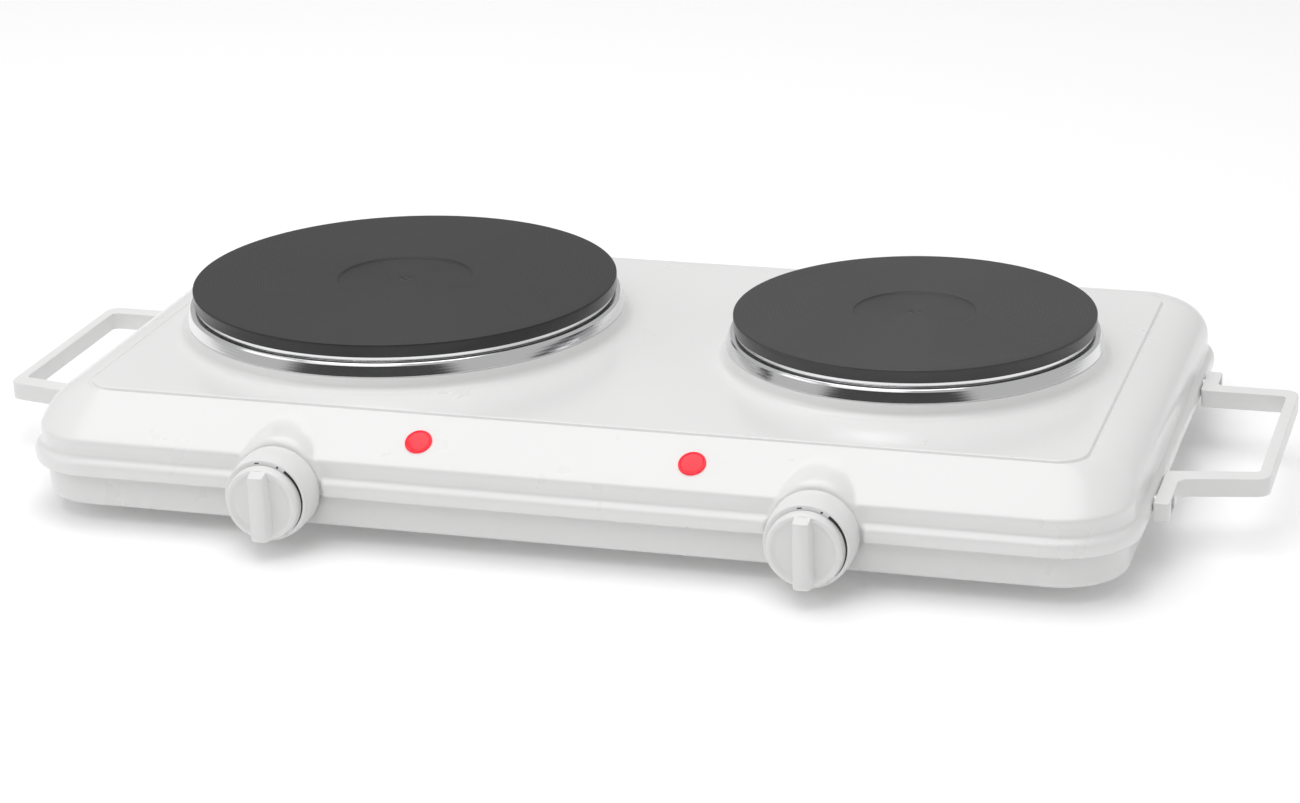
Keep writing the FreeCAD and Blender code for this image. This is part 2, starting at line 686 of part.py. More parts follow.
def contact_springs(x):
    """Two leaf springs with contact rivets, under the ceramic block."""
    leaves = []
    seat = KNOB_Z + BLOCK_LOW
    for step in (-9, 9):
        leaf = box(x + step - 3, x + step + 3, BLOCK_FRONT_Y, BLOCK_BACK_Y + 2, seat - 0.8, seat)
        rivet = cyl_z(x + step, BLOCK_BACK_Y - 2, seat - 2.4, seat - 0.8, 1.8)
        leaves.append(fuse_all([leaf, rivet]))
    return Part.makeCompound(leaves)


def control_tabs():
    """Push-on terminals at the back of each control."""
    tabs = []
    for x in KNOBS.values():
        for step in (-12, 0, 12):
            tabs.append(box(x + step - 3.1, x + step + 3.1, BLOCK_BACK_Y, BLOCK_BACK_Y + TAB_L,
                            KNOB_Z + 1.0, KNOB_Z + 1.8))
    return Part.makeCompound(tabs)


def lamp_lens(sign):
    """Domed lens with a snap-in stem."""
    head = lamp_cylinder(sign * LAMP_X, 0.0, 2.4, LENS_R)
    rims = sorted([e for e in head.Edges if e.Closed], key=lambda e: e.CenterOfMass.z)
    head = head.makeFillet(1.4, rims[-1:])
    return fuse_all([head, lamp_cylinder(sign * LAMP_X, 4.0, 0.0, LAMP_STEM_R)])


def lamp_holder(sign):
    tube = lamp_cylinder(sign * LAMP_X, 18.0, -4.0, 4.6)
    leads = []
    for side in (-1, 1):
        leads.append(lamp_cylinder(sign * LAMP_X + side * 2.0, 24.0, -18.0, 0.6))
    return fuse_all([tube] + leads)


# ---------------------------------------------------------------- handles

def handle(sign):
    """Flat bow: two arms and an outer bar, with feet turned outward along the housing."""
    x0 = HANDLE_IN_X
    xf = x0 + HANDLE_FOOT_T
    x1 = HANDLE_OUT_X
    xb = x1 - HANDLE_BAR_W
    arm_front = HANDLE_FRONT_Y + HANDLE_ARM_W
    arm_back = HANDLE_BACK_Y - HANDLE_ARM_W
    corners = [
        (x0, HANDLE_FOOT_FRONT_Y, 0.8), (xf, HANDLE_FOOT_FRONT_Y, 1.2),
        (xf, HANDLE_FRONT_Y - HANDLE_SLANT, 6.0), (x1, HANDLE_FRONT_Y, 6.0),
        (x1, HANDLE_BACK_Y, 6.0), (xf, HANDLE_BACK_Y, 3.0),
        (xf, HANDLE_FOOT_BACK_Y, 1.2), (x0, HANDLE_FOOT_BACK_Y, 0.8), (x0, arm_back, 2.5),
        (xb, arm_back, 2.5), (xb, arm_front, 2.5), (x0, arm_front - HANDLE_SLANT, 2.5),
    ]
    bow = Part.Face(rounded_wire(corners, HANDLE_Z0)).extrude(V(0, 0, HANDLE_Z1 - HANDLE_Z0))
    flats = (HANDLE_Z0, HANDLE_Z1)
    rims = [e for e in bow.Edges if e.BoundBox.ZLength < 0.01 and round(e.BoundBox.ZMin, 3) in flats]
    bow = bow.makeChamfer(0.7, rims)
    cuts = []
    for y in HANDLE_SCREW_Y:
        cuts.append(cyl_x(y, HANDLE_SCREW_Z, x0 - 1, xf + 1, SCREW_HOLE_R))
        cuts.append(box(x0 + 3.2, xf + 1, y - 4.4, y + 4.4, HANDLE_SCREW_Z - 3, HANDLE_SCREW_Z + 3))
    return mirrored(cut_all(bow, cuts), sign)


TRAY_SIDE_X = WALL_X - TRAY_IN


def handle_hardware(make):
    """One piece made by `make` for each handle screw, on both sides."""
    return Part.makeCompound([mirrored(make(y), sign) for sign in SIDES.values() for y in HANDLE_SCREW_Y])


def handle_spacers():
    def spacer(y):
        tube = cyl_x(y, HANDLE_SCREW_Z, TRAY_SIDE_X, HANDLE_IN_X, SPACER_R)
        return tube.cut(cyl_x(y, HANDLE_SCREW_Z, TRAY_SIDE_X, HANDLE_IN_X, SCREW_HOLE_R))
    return handle_hardware(spacer)


def handle_screws():
    def screw(y):
        seat = HANDLE_IN_X + 3.2
        head = cyl_x(y, HANDLE_SCREW_Z, seat, seat + 2.2, 2.8)
        slot = box(seat + 1.4, seat + 3, y - 0.4, y + 0.4, HANDLE_SCREW_Z - 3, HANDLE_SCREW_Z + 3)
        shank = cyl_x(y, HANDLE_SCREW_Z, TRAY_SIDE_X - 6, seat, SCREW_R)
        return fuse_all([head.cut(slot), shank])
    return handle_hardware(screw)


def handle_nuts():
    def nut(y):
        prism = hexagon(7.0, 3.2).cut(cyl_z(0, 0, -1, 5, SCREW_R))
        prism.rotate(V(0, 0, 0), V(0, 1, 0), -90)
        prism.translate(V(TRAY_SIDE_X - SHEET, y, HANDLE_SCREW_Z))
        return prism
    return handle_hardware(nut)


# ---------------------------------------------------------------- mains connection

def cord_gland():
    """Rubber bush through the tray's back wall, with a tapered sleeve outside."""
    wall = BACK_Y - TRAY_IN
    outline = [(CORD_HOLE_R, wall - 6.0), (5.6, wall - 6.0), (5.6, wall - 2.5), (4.7, wall - 2.5),
               (4.7, wall + 0.2), (5.5, wall + 0.2), (5.4, wall + 3.0), (5.0, GLAND_END_Y - 0.5),
               (4.6, GLAND_END_Y), (CORD_HOLE_R, GLAND_END_Y)]
    return turned(outline, "y", V(GLAND_X, 0, GLAND_Z))


def mains_terminal():
    """Three-way terminal block on the tray's floor."""
    floor = FOOT_H + SHEET
    block = rounded_slab(GLAND_X - 17, GLAND_X + 17, MAINS_Y - 9, MAINS_Y + 9, 2.0, floor, floor + 15)
    cuts = []
    for step in MAINS_STEPS:
        cuts.append(cyl_y(GLAND_X + step, floor + 7, MAINS_Y - 10, MAINS_Y + 10, 2.1))
        cuts += [cyl_z(GLAND_X + step, MAINS_Y + s * 4, floor + 7, floor + 20, 2.1) for s in (-1, 1)]
    return cut_all(block, cuts)


def terminal_screws():
    floor = FOOT_H + SHEET
    screws = []
    for step in MAINS_STEPS:
        screws += [cyl_z(GLAND_X + step, MAINS_Y + s * 4, floor + 9.4, floor + 13.6, 2.1) for s in (-1, 1)]
    return Part.makeCompound(screws)


def earth_tag():
    """Earth tag and its screw, fixed to the tray's floor."""
    floor = FOOT_H + SHEET
    tag = box(94, 100, 96, 112, floor, floor + 0.8)
    return fuse_all([tag, cyl_z(97, 101, floor + 0.8, floor + 3.4, 3.0)])


def internal_wiring():
    """Leads from the mains block to each control, and from each control to its plate."""
    low = FOOT_H + 5.0
    tab_z = KNOB_Z + 1.4
    tab_end = BLOCK_BACK_Y + TAB_L + 0.2
    mains_z = FOOT_H + SHEET + 7.0
    routes = []
    for side, plate in (("left", LARGE), ("right", SMALL)):
        sign = SIDES[side]
        tab_x = KNOBS[side]
        feed_x = tab_x + sign * 12
        start_x = GLAND_X + sign * 11
        pin_x = plate["x"] + sign * PIN_STEPS[-1]
        routes.append([(start_x, MAINS_Y - 9.4, mains_z), (start_x, 76, mains_z), (feed_x, 56, low),
                       (feed_x, -56, low), (feed_x, tab_end + 16, tab_z), (feed_x, tab_end, tab_z)])
        routes.append([(tab_x, tab_end, tab_z), (tab_x, tab_end + 16, tab_z), (tab_x + sign * 4, -30, 22),
                       (pin_x, TERMINAL_Y - 30, 22), (pin_x, TERMINAL_Y, 24), (pin_x, TERMINAL_Y, PIN_END_Z)])
    return Part.makeCompound([bent_tube(route, WIRE_R, WIRE_BEND) for route in routes])


# ---------------------------------------------------------------- the parts

def build_parts():
    parts = {
        "top_cover": top_cover(),
        "base_tray": base_tray(),
        "tie_posts": tie_posts(),
        "rubber_feet": rubber_feet(),
        "foot_screws": foot_screws(),
        "plate_studs": plate_studs(),
        "stud_nuts": stud_nuts(),
        "stud_washers": stud_washers(),
        "plate_terminal_pins": terminal_pins(),
        "bush_nuts": bush_nuts(),
        "control_tabs": control_tabs(),
        "handle_spacers": handle_spacers(),
        "handle_screws": handle_screws(),
        "handle_nuts": handle_nuts(),
        "cord_gland": cord_gland(),
        "mains_terminal_block": mains_terminal(),
        "terminal_screws": terminal_screws(),
        "earth_tag": earth_tag(),
        "internal_wiring": internal_wiring(),
    }
    for name, plate in PLATES.items():
        parts[name + "_cooking_plate"] = cooking_plate(plate)
        parts[name + "_trim_ring"] = trim_ring(plate)
        parts[name + "_heating_coils"] = heating_coils(plate)
        parts[name + "_coil_bed"] = coil_bed(plate)
        parts[name + "_under_cover"] = under_cover(plate)
        parts[name + "_clamp_bar"] = clamp_bar(plate)
        parts[name + "_terminal_block"] = plate_terminal(plate)
    for side, sign in SIDES.items():
        x = KNOBS[side]
        parts[side + "_knob"] = knob(x)
        parts[side + "_knob_clip"] = knob_clip(x)
        parts[side + "_spindle"] = spindle(x)
        parts[side + "_knob_bezel"] = knob_bezel(x)
        parts[side + "_control_bush"] = control_bush(x)
        parts[side + "_control_bracket"] = control_bracket(x)
        parts[side + "_control_body"] = control_body(x)
        parts[side + "_control_bimetal"] = bimetal(x)
        parts[side + "_contact_springs"] = contact_springs(x)
        parts[side + "_lamp_lens"] = lamp_lens(sign)
        parts[side + "_lamp_holder"] = lamp_holder(sign)
        parts[side + "_handle"] = handle(sign)
    return parts


def main():
    os.makedirs("parts", exist_ok=True)
    for name, shape in build_parts().items():
        if not shape.isValid():
            raise RuntimeError("invalid shape: " + name)
        shape.exportStep(os.path.join("parts", name + ".step"))
        print(name, len(shape.Solids), round(shape.Volume, 1))


main()
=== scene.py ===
import json
import math

import bmesh
import bpy
from mathutils import Matrix, Vector


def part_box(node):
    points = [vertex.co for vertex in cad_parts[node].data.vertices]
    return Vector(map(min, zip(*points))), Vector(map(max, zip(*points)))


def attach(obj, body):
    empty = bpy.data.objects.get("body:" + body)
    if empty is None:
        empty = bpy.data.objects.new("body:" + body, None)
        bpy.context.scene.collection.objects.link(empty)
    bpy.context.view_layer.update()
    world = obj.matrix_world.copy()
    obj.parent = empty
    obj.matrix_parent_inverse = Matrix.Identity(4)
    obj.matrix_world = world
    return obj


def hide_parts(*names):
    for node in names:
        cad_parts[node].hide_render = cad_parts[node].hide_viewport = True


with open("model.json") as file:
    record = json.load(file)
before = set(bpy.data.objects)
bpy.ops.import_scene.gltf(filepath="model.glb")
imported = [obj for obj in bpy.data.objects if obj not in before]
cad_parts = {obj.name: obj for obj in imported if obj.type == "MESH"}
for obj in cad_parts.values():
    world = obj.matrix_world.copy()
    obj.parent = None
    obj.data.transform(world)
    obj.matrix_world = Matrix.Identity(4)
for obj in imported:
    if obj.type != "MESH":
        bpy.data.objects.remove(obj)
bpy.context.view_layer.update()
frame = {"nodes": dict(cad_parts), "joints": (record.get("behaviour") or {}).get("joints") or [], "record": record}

MM = 0.001
ROOT = "housing"


def box_mm(node):
    """Low and high corner of a CAD node, in millimetres."""
    return [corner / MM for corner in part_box(node)]


# Top cover and base tray. All lengths are in millimetres; X is right, Y is back and Z is up.
cover_low, cover_high = box_mm("top_cover")
tray_low, tray_high = box_mm("base_tray")
BEAD_OUT = 3.25
SHEET = 0.9
TRAY_IN = 2.0
TRAY_EDGE_R = 2.0
WALL_X = cover_high.x - BEAD_OUT
FRONT_Y = cover_low.y + BEAD_OUT
BACK_Y = cover_high.y - BEAD_OUT
WALL_R = 30.0
LIP_Z = cover_low.z
BEAD_Z = LIP_Z + 3.6
SKIRT_Z = LIP_Z + 8.7
EDGE_Z = LIP_Z + 14.7
COLLAR_TOP_Z = cover_high.z
DECK_Z = COLLAR_TOP_Z - 6.5
PANEL_IN_X = 19.8
PANEL_X = WALL_X - PANEL_IN_X
PANEL_FRONT_Y = FRONT_Y + 24.5
PANEL_BACK_Y = BACK_Y - 20.0
PANEL_R = 13.0
PANEL_STEP = 0.8
BAND_SLOPE = math.atan2(DECK_Z - EDGE_Z, PANEL_FRONT_Y - FRONT_Y)
EDGE_SOFTNESS = 1.4

# Cooking plates, their trim rings and the collars round them
COLLAR_FOOT = 6.5
RING_FLARE = 3.3
HOLE_IN = 3.0
RIM_H = 5.7
PLATE_SEGMENTS = 224
COLLAR_SEGMENTS = 176

# Pilot lamps on the front band
LAMP_FROM_FRONT = 11.5
LENS_R = 5.75

# Knobs, their bezels and the humps of the cover behind them
KNOBS = {joint["child"]: Vector(joint["pos_m"]) / MM for joint in frame["joints"]}
KNOB_SEGMENTS = 144
KNOB_R = 15.6
KNOB_FACE_R = 14.9
BEZEL_R = 18.4
BEZEL_FACE_R = 17.6
DIAL_R = 16.35
GRIP_HALF_W = 3.5
HUMP_R = 20.2
HUMP_FLARE = 0.17
HUMP_FACE_Y = FRONT_Y - 1.0
HUMP_ROOT_Y = FRONT_Y + 26.0
HUMP_BLEND = 2.6
HUMP_EDGE = 6.0
HUMP_MARGIN = 4.0


def plate_facts(name, recess):
    """Centre, radius and top of a cooking plate, in millimetres."""
    low, high = box_mm(name + "_cooking_plate")
    middle = (low + high) / 2
    return {"name": name, "x": middle.x, "y": middle.y, "r": (high.x - low.x) / 2,
            "top": high.z, "bottom": low.z, "recess": recess}


PLATES = [plate_facts("large", 30.5), plate_facts("small", 26.5)]


# ---------------------------------------------------------------- materials

def material(name, colour, roughness, metallic=0.0, coat=0.0, specular=0.5):
    """Principled material; returns it with its node tree and shader."""
    made = bpy.data.materials.new(name)
    made.use_nodes = True
    tree = made.node_tree
    shader = tree.nodes["Principled BSDF"]
    shader.inputs["Base Color"].default_value = (*colour, 1.0)
    shader.inputs["Roughness"].default_value = roughness
    shader.inputs["Metallic"].default_value = metallic
    shader.inputs["Coat Weight"].default_value = coat
    shader.inputs["Coat Roughness"].default_value = 0.16
    shader.inputs["Specular IOR Level"].default_value = specular
    return made, tree, shader


def place(tree):
    """The piece's own coordinates, in metres."""
    return tree.nodes.new("ShaderNodeTexCoord").outputs["Object"]


def noise(tree, scale, detail=3.0, roughness=0.5, stretch=None):
    """Noise over the piece's own coordinates, about 0..1."""
    node = tree.nodes.new("ShaderNodeTexNoise")
    node.inputs["Scale"].default_value = scale
    node.inputs["Detail"].default_value = detail
    node.inputs["Roughness"].default_value = roughness
    source = place(tree)
    if stretch:
        mapping = tree.nodes.new("ShaderNodeMapping")
        mapping.inputs["Scale"].default_value = stretch
        tree.links.new(source, mapping.inputs["Vector"])
        source = mapping.outputs["Vector"]
    tree.links.new(source, node.inputs["Vector"])
    return node.outputs["Fac"]


def spread(tree, value, low, high):
    """Map a 0..1 value to low..high."""
    node = tree.nodes.new("ShaderNodeMapRange")
    node.inputs["To Min"].default_value = low
    node.inputs["To Max"].default_value = high
    tree.links.new(value, node.inputs["Value"])
    return node.outputs["Result"]


def vary_roughness(tree, shader, value, low, high):
    """Drive the roughness between low and high."""
    tree.links.new(spread(tree, value, low, high), shader.inputs["Roughness"])


def vary_colour(tree, shader, value, dark, light):
    """Drive the base colour between dark and light."""
    ramp = tree.nodes.new("ShaderNodeValToRGB")
    ramp.color_ramp.elements[0].position = 0.3
    ramp.color_ramp.elements[1].position = 0.7
    ramp.color_ramp.elements[0].color = (*dark, 1.0)
    ramp.color_ramp.elements[1].color = (*light, 1.0)
    tree.links.new(value, ramp.inputs["Fac"])
    tree.links.new(ramp.outputs["Color"], shader.inputs["Base Color"])


def bump(tree, shader, value, distance, strength=1.0, after=None):
    """Tilt the shader's normals by a height, on top of an earlier bump if there is one."""
    node = tree.nodes.new("ShaderNodeBump")
    node.inputs["Distance"].default_value = distance
    node.inputs["Strength"].default_value = strength
    tree.links.new(value, node.inputs["Height"])
    if after:
        tree.links.new(after, node.inputs["Normal"])
    tree.links.new(node.outputs["Normal"], shader.inputs["Normal"])
    return node.outputs["Normal"]


def mix_values(tree, first, second, share):
    """Blend two values; share is the part of the second."""
    node = tree.nodes.new("ShaderNodeMix")
    node.inputs["Factor"].default_value = share
    tree.links.new(first, node.inputs["A"])
    tree.links.new(second, node.inputs["B"])
    return node.outputs["Result"]


def radius_from(tree, centre_x, centre_y):
    """Distance from a vertical axis, in metres."""
    shift = tree.nodes.new("ShaderNodeVectorMath")
    shift.operation = "SUBTRACT"
    shift.inputs[1].default_value = (centre_x * MM, centre_y * MM, 0.0)
    tree.links.new(place(tree), shift.inputs[0])
    flat = tree.nodes.new("ShaderNodeVectorMath")
    flat.operation = "MULTIPLY"
    flat.inputs[1].default_value = (1.0, 1.0, 0.0)
    tree.links.new(shift.outputs[0], flat.inputs[0])
    length = tree.nodes.new("ShaderNodeVectorMath")
    length.operation = "LENGTH"
    tree.links.new(flat.outputs[0], length.inputs[0])
    return length.outputs["Value"]


def ripples(tree, distance, pitch_mm, wander=0.0):
    """A 0..1 wave over a distance, with one crest per pitch."""
    turns = tree.nodes.new("ShaderNodeMath")
    turns.operation = "MULTIPLY_ADD"
    turns.inputs[1].default_value = 2 * math.pi / (pitch_mm * MM)
    tree.links.new(distance, turns.inputs[0])
    if wander:
        tree.links.new(spread(tree, noise(tree, 60.0), 0.0, wander), turns.inputs[2])
    wave = tree.nodes.new("ShaderNodeMath")
    wave.operation = "SINE"
    tree.links.new(turns.outputs[0], wave.inputs[0])
    node = tree.nodes.new("ShaderNodeMapRange")
    node.inputs["From Min"].default_value = -1.0
    tree.links.new(wave.outputs[0], node.inputs["Value"])
    return node.outputs["Result"]


def enamel():
    """Glossy enamel on pressed steel: faint orange peel and a slow change of gloss."""
    made, tree, shader = material("white_enamel", (0.84, 0.84, 0.83), 0.22, coat=0.35)
    vary_colour(tree, shader, noise(tree, 9.0), (0.835, 0.837, 0.83), (0.855, 0.856, 0.85))
    vary_roughness(tree, shader, noise(tree, 35.0, detail=4.0), 0.24, 0.34)
    bump(tree, shader, noise(tree, 380.0, detail=1.0), 0.00002, 0.2)
    return made


def plastic(name, colour, grain=0.00004):
    """Moulded plastic with a fine even grain."""
    made, tree, shader = material(name, colour, 0.33)
    darker = tuple(0.975 * c for c in colour)
    vary_colour(tree, shader, noise(tree, 40.0), darker, colour)
    vary_roughness(tree, shader, noise(tree, 90.0), 0.27, 0.40)
    bump(tree, shader, noise(tree, 2600.0, detail=1.0), grain, 0.5)
    return made


# The small plate gets a lighter iron than the large one. This is painted light: it stands in for the brighter
# reflection on the small plate's top, and both plates have the same dark coat.
IRON_TONES = {"large": ((0.010, 0.010, 0.011), (0.025, 0.025, 0.026)),
              "small": ((0.026, 0.026, 0.027), (0.046, 0.046, 0.047))}


def turned_iron(plate):
    """Cast iron faced on a lathe and given a dark coat: fine rings, cloudy sheen."""
    # Per-plate tones: the small plate's lighter iron is painted light, standing in for the brighter reflection on
    # its top.
    dark, light = IRON_TONES[plate["name"]]
    made, tree, shader = material(plate["name"] + "_turned_iron", light, 0.5, specular=0.5)
    distance = radius_from(tree, plate["x"], plate["y"])
    cloud = noise(tree, 26.0, detail=5.0, roughness=0.6)
    rings = ripples(tree, distance, 1.15, wander=1.5)
    fine = ripples(tree, distance, 0.43)
    vary_colour(tree, shader, mix_values(tree, cloud, rings, 0.45), dark, light)
    height = tree.nodes.new("ShaderNodeSeparateXYZ")
    tree.links.new(place(tree), height.inputs["Vector"])
    facing = tree.nodes.new("ShaderNodeMapRange")
    facing.inputs["From Min"].default_value = (plate["top"] - 1.2) * MM
    facing.inputs["From Max"].default_value = (plate["top"] - 0.7) * MM
    facing.inputs["To Min"].default_value = 0.5
    facing.inputs["To Max"].default_value = 1.0
    tree.links.new(height.outputs["Z"], facing.inputs["Value"])
    sheen = tree.nodes.new("ShaderNodeMath")
    sheen.operation = "MULTIPLY"
    tree.links.new(spread(tree, mix_values(tree, cloud, fine, 0.4), 0.42, 0.56), sheen.inputs[0])
    tree.links.new(facing.outputs["Result"], sheen.inputs[1])
    tree.links.new(sheen.outputs[0], shader.inputs["Roughness"])
    first = bump(tree, shader, mix_values(tree, rings, fine, 0.4), 0.00011, 1.0)
    bump(tree, shader, noise(tree, 900.0, detail=2.0), 0.00004, 0.4, after=first)
    return made


def polished_steel(plate):
    """Bright pressed ring with the faint hoops that polishing leaves."""
    name = plate["name"] + "_polished_steel"
    made, tree, shader = material(name, (0.80, 0.80, 0.81), 0.12, metallic=1.0)
    distance = radius_from(tree, plate["x"], plate["y"])
    hoops = ripples(tree, distance, 0.35, wander=2.0)
    smear = noise(tree, 55.0, detail=4.0)
    vary_roughness(tree, shader, mix_values(tree, smear, hoops, 0.3), 0.08, 0.2)
    bump(tree, shader, hoops, 0.000008, 0.5)
    return made


def lamp_glass():
    """Red lens that scatters light and glows a little by itself."""
    made, tree, shader = material("red_lens", (0.80, 0.006, 0.02), 0.2, coat=0.15, specular=0.35)
    shader.inputs["Emission Strength"].default_value = 0.42
    shader.inputs["Emission Color"].default_value = (1.0, 0.03, 0.06, 1.0)
    shader.inputs["Subsurface Weight"].default_value = 0.3
    shader.inputs["Subsurface Radius"].default_value = (0.004, 0.001, 0.001)
    vary_colour(tree, shader, noise(tree, 500.0), (0.72, 0.004, 0.012), (0.84, 0.008, 0.025))
    vary_roughness(tree, shader, noise(tree, 200.0), 0.16, 0.26)
    bump(tree, shader, noise(tree, 1500.0, detail=1.0), 0.00003, 0.3)
    return made


def rough_metal(name, colour, roughness):
    """Plain fitting metal with scuffs along one direction."""
    made, tree, shader = material(name, colour, roughness, metallic=1.0)
    vary_colour(tree, shader, noise(tree, 120.0), tuple(0.86 * c for c in colour), colour)
    scuffs = noise(tree, 160.0, stretch=(1.0, 6.0, 1.0))
    vary_roughness(tree, shader, scuffs, roughness - 0.08, roughness + 0.12)
    bump(tree, shader, noise(tree, 1200.0, detail=2.0), 0.00002, 0.4)
    return made


def chalky(name, colour, roughness, scale, depth):
    """Non-metal that is dull and slightly uneven: rubber, ceramic, sleeving."""
    made, tree, shader = material(name, colour, roughness)
    vary_colour(tree, shader, noise(tree, scale / 4), tuple(0.88 * c for c in colour), colour)
    vary_roughness(tree, shader, noise(tree, scale), roughness - 0.08, min(1.0, roughness + 0.1))
    bump(tree, shader, noise(tree, scale * 2, detail=3.0), depth, 0.5)
    return made


def printed_ink():
    """Matt black print."""
    made, tree, shader = material("dial_ink", (0.02, 0.02, 0.02), 0.4)
    vary_colour(tree, shader, noise(tree, 700.0), (0.012, 0.012, 0.012), (0.03, 0.03, 0.03))
    vary_roughness(tree, shader, noise(tree, 900.0), 0.32, 0.5)
    return made


ENAMEL = enamel()
WHITE_PLASTIC = plastic("white_plastic", (0.84, 0.84, 0.835))
RUBBER = chalky("black_rubber", (0.03, 0.03, 0.031), 0.7, 500.0, 0.00008)
CERAMIC = chalky("pale_ceramic", (0.78, 0.75, 0.69), 0.35, 300.0, 0.00004)
REFRACTORY = chalky("refractory", (0.66, 0.62, 0.55), 0.88, 700.0, 0.0002)
SLEEVE = chalky("woven_sleeve", (0.60, 0.55, 0.45), 0.8, 1600.0, 0.0001)
BRASS = rough_metal("plain_brass", (0.74, 0.58, 0.28), 0.32)
ZINC = rough_metal("zinc_plate", (0.62, 0.63, 0.64), 0.36)
ELEMENT = rough_metal("heated_steel", (0.30, 0.28, 0.27), 0.5)
LENS = lamp_glass()
INK = printed_ink()
IRON = {plate["name"]: turned_iron(plate) for plate in PLATES}
STEEL = {plate["name"]: polished_steel(plate) for plate in PLATES}

BY_SLOT = {
    "cover_enamel": ENAMEL,
    "tray_enamel": ENAMEL,
    "knob_plastic": WHITE_PLASTIC,
    "handle_plastic": WHITE_PLASTIC,
    "lens_red": LENS,
    "black_rubber": RUBBER,
    "element_steel": ELEMENT,
    "refractory": REFRACTORY,
    "ceramic_white": CERAMIC,
    "holder_plastic": CERAMIC,
    "wire_sleeve": SLEEVE,
    "brass_fittings": BRASS,
    "plated_steel": ZINC,
}


def dress(piece, finish):
    """Give a piece one finish all over."""
    piece.data.materials.clear()
    piece.data.materials.append(finish)


def dress_frame():
    """Give every CAD node the finish of its slot; plates and rings have one for each plate."""
    for part in frame["record"]["subparts"]:
        node = frame["nodes"][part["node"]]
        plate_name = part["node"].split("_")[0]
        if part["material_slot"] == "plate_iron":
            finish = IRON[plate_name]
        elif part["material_slot"] == "ring_steel":
            finish = STEEL[plate_name]
        else:
            finish = BY_SLOT[part["material_slot"]]
        for index in range(len(node.data.materials)):
            node.data.materials[index] = finish
        if not node.data.materials:
            node.data.materials.append(finish)


# ---------------------------------------------------------------- mesh helpers

def add_piece(name, mesh_data, body, slot, finish, *nodes):
    """Put a mesh into the scene as a piece that rides on a body and stands for CAD nodes."""
    piece = bpy.data.objects.new(name, mesh_data)
    bpy.context.scene.collection.objects.link(piece)
    dress(piece, finish)
    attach(piece, body)
    if nodes:
        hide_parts(*nodes)
    return piece


def finish_mesh(bm, name, crease_degrees=40.0):
    """Weld a mesh, turn its faces outwards and shade it smooth except at creases."""
    bmesh.ops.remove_doubles(bm, verts=bm.verts, dist=1e-7)
    bmesh.ops.recalc_face_normals(bm, faces=bm.faces)
    data = bpy.data.meshes.new(name)
    bm.to_mesh(data)
    bm.free()
    data.shade_smooth()
    data.set_sharp_from_angle(angle=math.radians(crease_degrees))
    return data


def filleted(corners, steps=6):
    """Polyline through (u, v, radius) corners, with each corner that has a radius rounded."""
    points = []
    for k, (u, v, radius) in enumerate(corners):
        here = Vector((u, v))
        if radius <= 0 or k in (0, len(corners) - 1):
            points.append((u, v))
            continue
        before = (Vector(corners[k - 1][:2]) - here).normalized()
        after = (Vector(corners[k + 1][:2]) - here).normalized()
        half = before.angle(after) / 2
        reach = radius / math.tan(half)
        start = here + before * reach
        end = here + after * reach
        middle = (before + after).normalized()
        centre = here + middle * (radius / math.sin(half))
        for step in range(steps + 1):
            share = step / steps
            chord = start.lerp(end, share) - centre
            spoke = chord.normalized() * radius
            points.append(tuple(centre + spoke))
    return points


def lathe(bm, profile, to_space, segments=128):
    """Turn a (radius, station) profile about an axis; to_space(r, angle, station) gives the point."""
    rings = []
    for radius, station in profile:
        if radius < 1e-6:
            rings.append([bm.verts.new(to_space(0.0, 0.0, station))])
            continue
        turns = [2 * math.pi * k / segments for k in range(segments)]
        rings.append([bm.verts.new(to_space(radius, turn, station)) for turn in turns])
    for low, high in zip(rings, rings[1:]):
        join_rings(bm, low, high)
    return rings


def join_rings(bm, low, high):
    """Quads between two closed rings, or a fan where one of them is a single point."""
    count = max(len(low), len(high))
    if count == 1:
        return
    for k in range(count):
        after = (k + 1) % count
        if len(low) == 1:
            bm.faces.new((low[0], high[after], high[k]))
        elif len(high) == 1:
            bm.faces.new((low[k], low[after], high[0]))
        else:
            bm.faces.new((low[k], low[after], high[after], high[k]))


def upright(centre_x, centre_y):
    """About a vertical axis."""
    def to_space(radius, turn, z):
        return Vector((centre_x + radius * math.cos(turn), centre_y + radius * math.sin(turn), z)) * MM
    return to_space


def facing_front(axis_x, axis_z):
    """About an axis along Y; turn 0 points up and grows clockwise for the user."""
    def to_space(radius, turn, y):
        return Vector((axis_x + radius * math.sin(turn), y, axis_z + radius * math.cos(turn))) * MM
    return to_space


def turned_piece(name, profile, to_space, body, slot, finish, *nodes, segments=128):
    """A piece that is one lathed profile."""
    bm = bmesh.new()
    lathe(bm, profile, to_space, segments)
    return add_piece(name, finish_mesh(bm, name), body, slot, finish, *nodes)


def sheet_metal(piece):
    """Give a surface the sheet's thickness on its inner side, with flat faces shaded flat."""
    sheet = piece.modifiers.new("sheet", "SOLIDIFY")
    sheet.thickness = SHEET * MM
    sheet.offset = -1.0
    fair = piece.modifiers.new("normals", "WEIGHTED_NORMAL")
    fair.keep_sharp = True


def ease_edges(piece, width, angle_degrees):
    """Round every edge that is sharper than the angle."""
    edge = piece.modifiers.new("edge", "BEVEL")
    edge.width = width * MM
    edge.segments = 3
    edge.limit_method = "ANGLE"
    edge.angle_limit = math.radians(angle_degrees)
    edge.harden_normals = True


# ---------------------------------------------------------------- top cover

def soft_min(a, b, width):
    """The smaller of two values, with a rounded change-over."""
    mix = max(width - abs(a - b), 0.0) / width
    return min(a, b) - mix * mix * width / 4


def soft_max(a, b, width):
    """The larger of two values, with a rounded change-over."""
    return -soft_min(-a, -b, width)


def ease(value):
    """Smooth step from 0 to 1, held beyond both ends."""
    value = min(max(value, 0.0), 1.0)
    return value * value * (3 - 2 * value)


